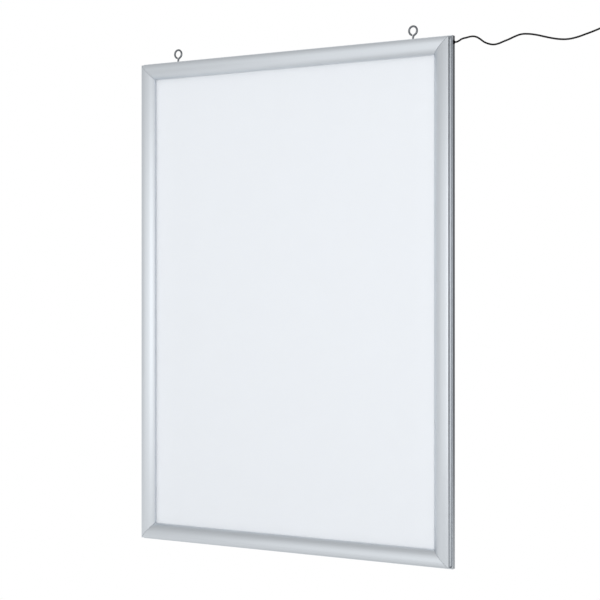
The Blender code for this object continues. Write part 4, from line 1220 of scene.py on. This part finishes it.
class SNAPFRAME_OT_cord(bpy.types.Operator):
    """Make the cord with its coil, strap, grommet and plug"""

    bl_idname = "snapframe.cord"
    bl_label = "Cord"

    def execute(self, context):
        look = context.scene.snap_frame_look
        pvc = soft_plastic("black_cord_sheath", look.cord, 0.5, 0.0015)
        rubber = soft_plastic("black_grommet_rubber", "#1A1A1B", 0.55, 0.0008)
        turns = coil_turns()
        end = turns[-1] - Vector((0, 0, COIL_TAIL))
        route = [Vector((x, 0, z)) for x, z in CORD_ROUTE] + turns + [end]
        cord = self.cord_piece(route, pvc)
        self.grommet(rubber)
        on_cord = [self.strap(), *self.plug(pvc)]
        return {"FINISHED"}

    def cord_piece(self, route, material):
        """Round cord on one smooth open curve."""
        curve = bpy.data.curves.new("low_voltage_cord", "CURVE")
        curve.dimensions = "3D"
        curve.bevel_depth = CORD_DIAMETER / 2
        curve.bevel_resolution = CORD_ROUND_STEPS
        curve.resolution_u = CORD_CURVE_STEPS
        curve.use_fill_caps = True
        spline = curve.splines.new("BEZIER")
        spline.bezier_points.add(len(route) - 1)
        for knot, point in zip(spline.bezier_points, route):
            knot.co = point
            knot.handle_left_type = knot.handle_right_type = "AUTO"
        curve.materials.append(material)
        cord = link_up("low_voltage_cord", curve)
        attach(cord, "frame")
        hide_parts("power_cord", "power_cord_coil")
        return cord

    def grommet(self, material):
        """Rubber grommet with a soft flange and a short nose round the cord."""
        inner = HALF_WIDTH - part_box("cord_grommet")[0].x
        profile = [
            (0, -inner),
            (GROMMET_NECK_RADIUS, -inner),
            (GROMMET_NECK_RADIUS, CLEARANCE),
            (GROMMET_RADIUS, CLEARANCE),
            (GROMMET_RADIUS, GROMMET_FLANGE),
            (GROMMET_NECK_RADIUS + GROMMET_NOSE, GROMMET_FLANGE + GROMMET_NOSE),
            (0, GROMMET_FLANGE + GROMMET_NOSE),
        ]
        mesh = lathe("rubber_grommet", eased(profile, GROMMET_EDGE))
        place = Matrix.Translation((HALF_WIDTH, 0, middle("cord_grommet").z))
        mesh.transform(place @ Matrix.Rotation(pi / 2, 4, "Y"))
        add_piece("rubber_grommet", mesh, [material], "frame", ["cord_grommet"])

    def strap(self):
        """Strap wound one and a half times round the top of the coil."""
        low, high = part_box("cord_tie")
        wall = 2 * STRAP_LAYER + STRAP_GAP
        room = CORD_DIAMETER / 2 + CLEARANCE
        inset = room + wall
        loop = []
        corners = (
            (high.y, high.z, -1, -1), (low.y, high.z, 1, -1), (low.y, low.z, 1, 1), (high.y, low.z, -1, 1),
        )
        for i, (y, z, sy, sz) in enumerate(corners):
            centre = (y + sy * inset, z + sz * inset)
            loop += [(centre, pi / 2 * (i + k / FILLET_STEPS)) for k in range(FILLET_STEPS + 1)]
        bm = bmesh.new()
        rings = []
        for i in range(round(len(loop) * STRAP_OVERLAP_TURNS)):
            (y, z), turn = loop[i % len(loop)]
            climbed = (i - len(loop) + STRAP_CLIMB_STEPS) / STRAP_CLIMB_STEPS
            near = room + min(1, max(0, climbed)) * (STRAP_LAYER + STRAP_GAP)
            far = near + STRAP_LAYER
            ring = []
            for x, r in ((low.x, near), (high.x, near), (high.x, far), (low.x, far)):
                ring.append(bm.verts.new((x, y + r * cos(turn), z + r * sin(turn))))
            rings.append(ring)
        mesh = facing_out(mesh_of("coil_strap", capped(bm, rings, 4)))
        mesh = carved("coil_strap", mesh, [], STRAP_EDGE)
        return add_piece("coil_strap", mesh, [woven_strap()], "frame", ["cord_tie"])

    def plug(self, material):
        """Barrel plug: grooved relief and ridged grip, nickel sleeve and inner insulator."""
        low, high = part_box("dc_plug_body")
        top = Vector((*middle("dc_plug_body").xy, high.z))
        length = high.z - low.z
        outline = eased(self.body_profile(length), PLUG_EDGE)
        body_mesh = lathe("barrel_plug_body", outline, self.grip(length))
        sleeve_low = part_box("dc_plug_barrel")[0].z - top.z
        seat = PLUG_SOCKET_DEPTH - CLEARANCE - length
        inside = BARREL_RADIUS - BARREL_WALL
        lip = BARREL_WALL / 3
        sleeve = [
            (BARREL_RADIUS, seat), (BARREL_RADIUS, sleeve_low + lip), (BARREL_RADIUS - lip, sleeve_low),
            (inside + lip, sleeve_low), (inside, sleeve_low + lip), (inside, seat),
        ]
        core_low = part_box("dc_plug_insulator")[0].z - top.z
        core_radius = inside - CLEARANCE
        deep = seat - PLUG_SOCKET_DEPTH
        core = [
            (0, seat), (core_radius, seat), (core_radius, core_low + lip), (core_radius - lip, core_low),
            (CONTACT_RADIUS + lip, core_low), (CONTACT_RADIUS, core_low + lip), (CONTACT_RADIUS, deep),
            (0, deep),
        ]
        kinds = (
            ("body", body_mesh, material, "black_pvc", "dc_plug_body"),
            ("sleeve", lathe("sleeve", sleeve), nickel_plate(), "nickel_plate", "dc_plug_barrel"),
            ("core", lathe("core", core), material, "black_pvc", "dc_plug_insulator"),
        )
        made = []
        for kind, mesh, finish, slot, node in kinds:
            mesh.transform(Matrix.Translation(top))
            made.append(add_piece("barrel_plug_" + kind, mesh, [finish], "frame", [node]))
        return made

    def body_profile(self, length):
        """Plug body from the cord's end down."""
        profile = [(0, 0), (PLUG_NECK_RADIUS, 0)]
        for i in range(int(PLUG_NECK_LENGTH / (2 * PLUG_RIB))):
            start = (2 * i + 1) * PLUG_RIB
            end = start + PLUG_RIB
            wide = PLUG_NECK_RADIUS + (PLUG_RADIUS - PLUG_NECK_RADIUS) / 2 * start / PLUG_NECK_LENGTH
            deep = wide - PLUG_GROOVE
            profile += [(wide, -start), (deep, -start), (deep, -end), (wide, -end)]
        shoulder = PLUG_NECK_LENGTH + PLUG_RADIUS - PLUG_NECK_RADIUS
        bore = BARREL_RADIUS + CLEARANCE
        profile += [
            (PLUG_RADIUS - PLUG_GROOVE, -PLUG_NECK_LENGTH - PLUG_GROOVE),
            (PLUG_RADIUS, -shoulder),
            (PLUG_RADIUS, -shoulder - PLUG_RIB),
            (PLUG_RADIUS, PLUG_RIB - length),
            (PLUG_RADIUS, PLUG_GROOVE - length),
            (PLUG_RADIUS - PLUG_GROOVE, -length),
            (bore, -length),
            (bore, PLUG_SOCKET_DEPTH - length),
            (0, PLUG_SOCKET_DEPTH - length),
        ]
        return profile

    def grip(self, length):
        """Shallow flutes down the plug's grip."""
        top = -PLUG_NECK_LENGTH - PLUG_RADIUS + PLUG_NECK_RADIUS - PLUG_RIB
        bottom = PLUG_RIB - length

        def flute(angle, r, z):
            inside = r == PLUG_RADIUS and bottom <= z <= top
            return PLUG_GRIP_DEPTH * max(0, cos(PLUG_FLUTES * angle)) if inside else 0

        return flute


class SNAPFRAME_OT_stage(bpy.types.Operator):
    """Set the floor, the lamps, the white background and the camera"""

    bl_idname = "snapframe.stage"
    bl_label = "Stage"

    def execute(self, context):
        stage = context.scene.snap_frame_stage
        self.camera(context)
        self.floor(stage)
        self.background(context.scene, stage)
        self.lamp("wide_lamp", *WIDE_LAMP, stage.wide_power)
        self.lamp("tall_lamp", *TALL_LAMP, stage.tall_power)
        context.scene.view_settings.view_transform = "Standard"
        return {"FINISHED"}

    def camera(self, context):
        """Camera at the photograph's place and angle."""
        data = bpy.data.cameras.new("view_camera")
        data.lens = CAMERA_LENS
        data.shift_y = CAMERA_SHIFT_UP
        camera = link_up("view_camera", data)
        camera.location = CAMERA_PLACE
        camera.rotation_euler = (pi / 2, 0, CAMERA_YAW)
        context.scene.camera = camera

    def floor(self, stage):
        """Pale floor well below the hanging frame; it looks white and still takes the shadow, and metal
        sees it as a painted glow with painted shade round a spot near the frame.
        """
        bm = bmesh.new()
        bmesh.ops.create_circle(bm, segments=LATHE_SIDES, radius=FLOOR_RADIUS, cap_ends=True)
        mesh = mesh_of("studio_floor", bm)
        mesh.transform(Matrix.Translation((0, 0, TOP_Z - 2 * HALF_HEIGHT - stage.floor_drop)))
        material = new_material("studio_floor", "#CFCFCF", 0.9)
        tree = material.node_tree
        rays = add_node(tree, "ShaderNodeLightPath").outputs
        place = object_place(tree)
        far = add_node(tree, "ShaderNodeVectorMath", {0: place}, operation="LENGTH").outputs["Value"]
        # Painted reflection and shade: in reflections the floor glows, dimmer round a spot near the frame,
        # which paints the frame's shade on it
        spot = {0: place, 1: FLOOR_PAINTED_SHADE_SPOT}
        away = add_node(tree, "ShaderNodeVectorMath", spot, operation="DISTANCE").outputs["Value"]
        shown = maths(tree, "MULTIPLY", rays["Is Camera Ray"], mapped(tree, far, *FLOOR_WHITE))
        share = maths(tree, "MAXIMUM", shown, rays["Is Glossy Ray"])
        shine = mapped(tree, away, *FLOOR_PAINTED_REFLECTION)
        strength = add_node(tree, "ShaderNodeMix", {0: rays["Is Glossy Ray"], 2: 1.0, 3: shine})
        lit = {"Color": (1, 1, 1, 1), "Strength": strength.outputs[0]}
        white = add_node(tree, "ShaderNodeEmission", lit)
        mixed = {0: share, 1: shader_of(material).outputs[0], 2: white.outputs[0]}
        both = add_node(tree, "ShaderNodeMixShader", mixed)
        tree.links.new(both.outputs[0], tree.nodes["Material Output"].inputs["Surface"])
        mesh.materials.append(material)
        link_up("studio_floor", mesh)

    def background(self, scene, stage):
        """White room for the camera; metal sees it dark behind, dimmer overhead, below and left."""
        world = bpy.data.worlds.new("white_room")
        scene.world = world
        world.use_nodes = True
        tree = world.node_tree
        rays = add_node(tree, "ShaderNodeLightPath").outputs
        direction = add_node(tree, "ShaderNodeTexCoord").outputs["Generated"]
        axes = split(tree, direction)
        dark_side = {0: direction, 1: ROOM_DARK_SIDE}
        toward = add_node(tree, "ShaderNodeVectorMath", dark_side, operation="DOT_PRODUCT")
        behind = mapped(tree, toward.outputs["Value"], *ROOM_BEHIND)
        steep = mapped(tree, maths(tree, "ABSOLUTE", axes["Z"]), *ROOM_STEEP)
        left = mapped(tree, axes["X"], *ROOM_LEFT)
        mirrored = maths(tree, "MULTIPLY", maths(tree, "MULTIPLY", behind, steep), left)
        lit = {0: rays["Is Glossy Ray"], 2: stage.room_light, 3: mirrored}
        thrown = add_node(tree, "ShaderNodeMix", lit)
        seen = maths(tree, "MAXIMUM", rays["Is Camera Ray"], rays["Is Transmission Ray"])
        strength = add_node(tree, "ShaderNodeMix", {0: seen, 2: thrown.outputs[0], 3: 1.0})
        surface = tree.nodes["Background"]
        surface.inputs["Color"].default_value = (1, 1, 1, 1)
        tree.links.new(strength.outputs[0], surface.inputs["Strength"])

    def lamp(self, name, place, size, power):
        """Large soft lamp in front of the frame, square to it."""
        data = bpy.data.lights.new(name, "AREA")
        data.shape = "RECTANGLE"
        data.size, data.size_y = size
        data.energy = power
        lamp = link_up(name, data)
        lamp.location = place
        lamp.rotation_euler = (pi / 2, 0, 0)


class SNAPFRAME_PT_panel(bpy.types.Panel):
    """Sidebar panel with the frame's sizes, colours and steps"""

    bl_idname = "SNAPFRAME_PT_panel"
    bl_label = "Illuminated Snap Frame"
    bl_space_type = "VIEW_3D"
    bl_region_type = "UI"
    bl_category = "Snap Frame"

    def draw(self, context):
        layout = self.layout
        for group in (context.scene.snap_frame_look, context.scene.snap_frame_stage):
            for name in group.__annotations__:
                layout.prop(group, name)
        for operator in OPERATORS:
            layout.operator(operator.bl_idname)


OPERATORS = (
    SNAPFRAME_OT_stage,
    SNAPFRAME_OT_base,
    SNAPFRAME_OT_rails,
    SNAPFRAME_OT_springs,
    SNAPFRAME_OT_corners,
    SNAPFRAME_OT_sheets,
    SNAPFRAME_OT_lights,
    SNAPFRAME_OT_leads,
    SNAPFRAME_OT_eyes,
    SNAPFRAME_OT_cord,
)
CLASSES = (SnapFrameLook, SnapFrameStage, *OPERATORS, SNAPFRAME_PT_panel)


def register():
    for kind in CLASSES:
        bpy.utils.register_class(kind)
    bpy.types.Scene.snap_frame_look = bpy.props.PointerProperty(type=SnapFrameLook)
    bpy.types.Scene.snap_frame_stage = bpy.props.PointerProperty(type=SnapFrameStage)


def unregister():
    del bpy.types.Scene.snap_frame_stage
    del bpy.types.Scene.snap_frame_look
    for kind in reversed(CLASSES):
        bpy.utils.unregister_class(kind)


def main():
    """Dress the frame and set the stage."""
    register()
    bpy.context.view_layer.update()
    bpy.ops.snapframe.stage()
    bpy.ops.snapframe.base()
    bpy.ops.snapframe.rails()
    bpy.ops.snapframe.springs()
    bpy.ops.snapframe.corners()
    bpy.ops.snapframe.sheets()
    bpy.ops.snapframe.lights()
    bpy.ops.snapframe.leads()
    bpy.ops.snapframe.eyes()
    bpy.ops.snapframe.cord()


if __name__ == "__main__":
    main()
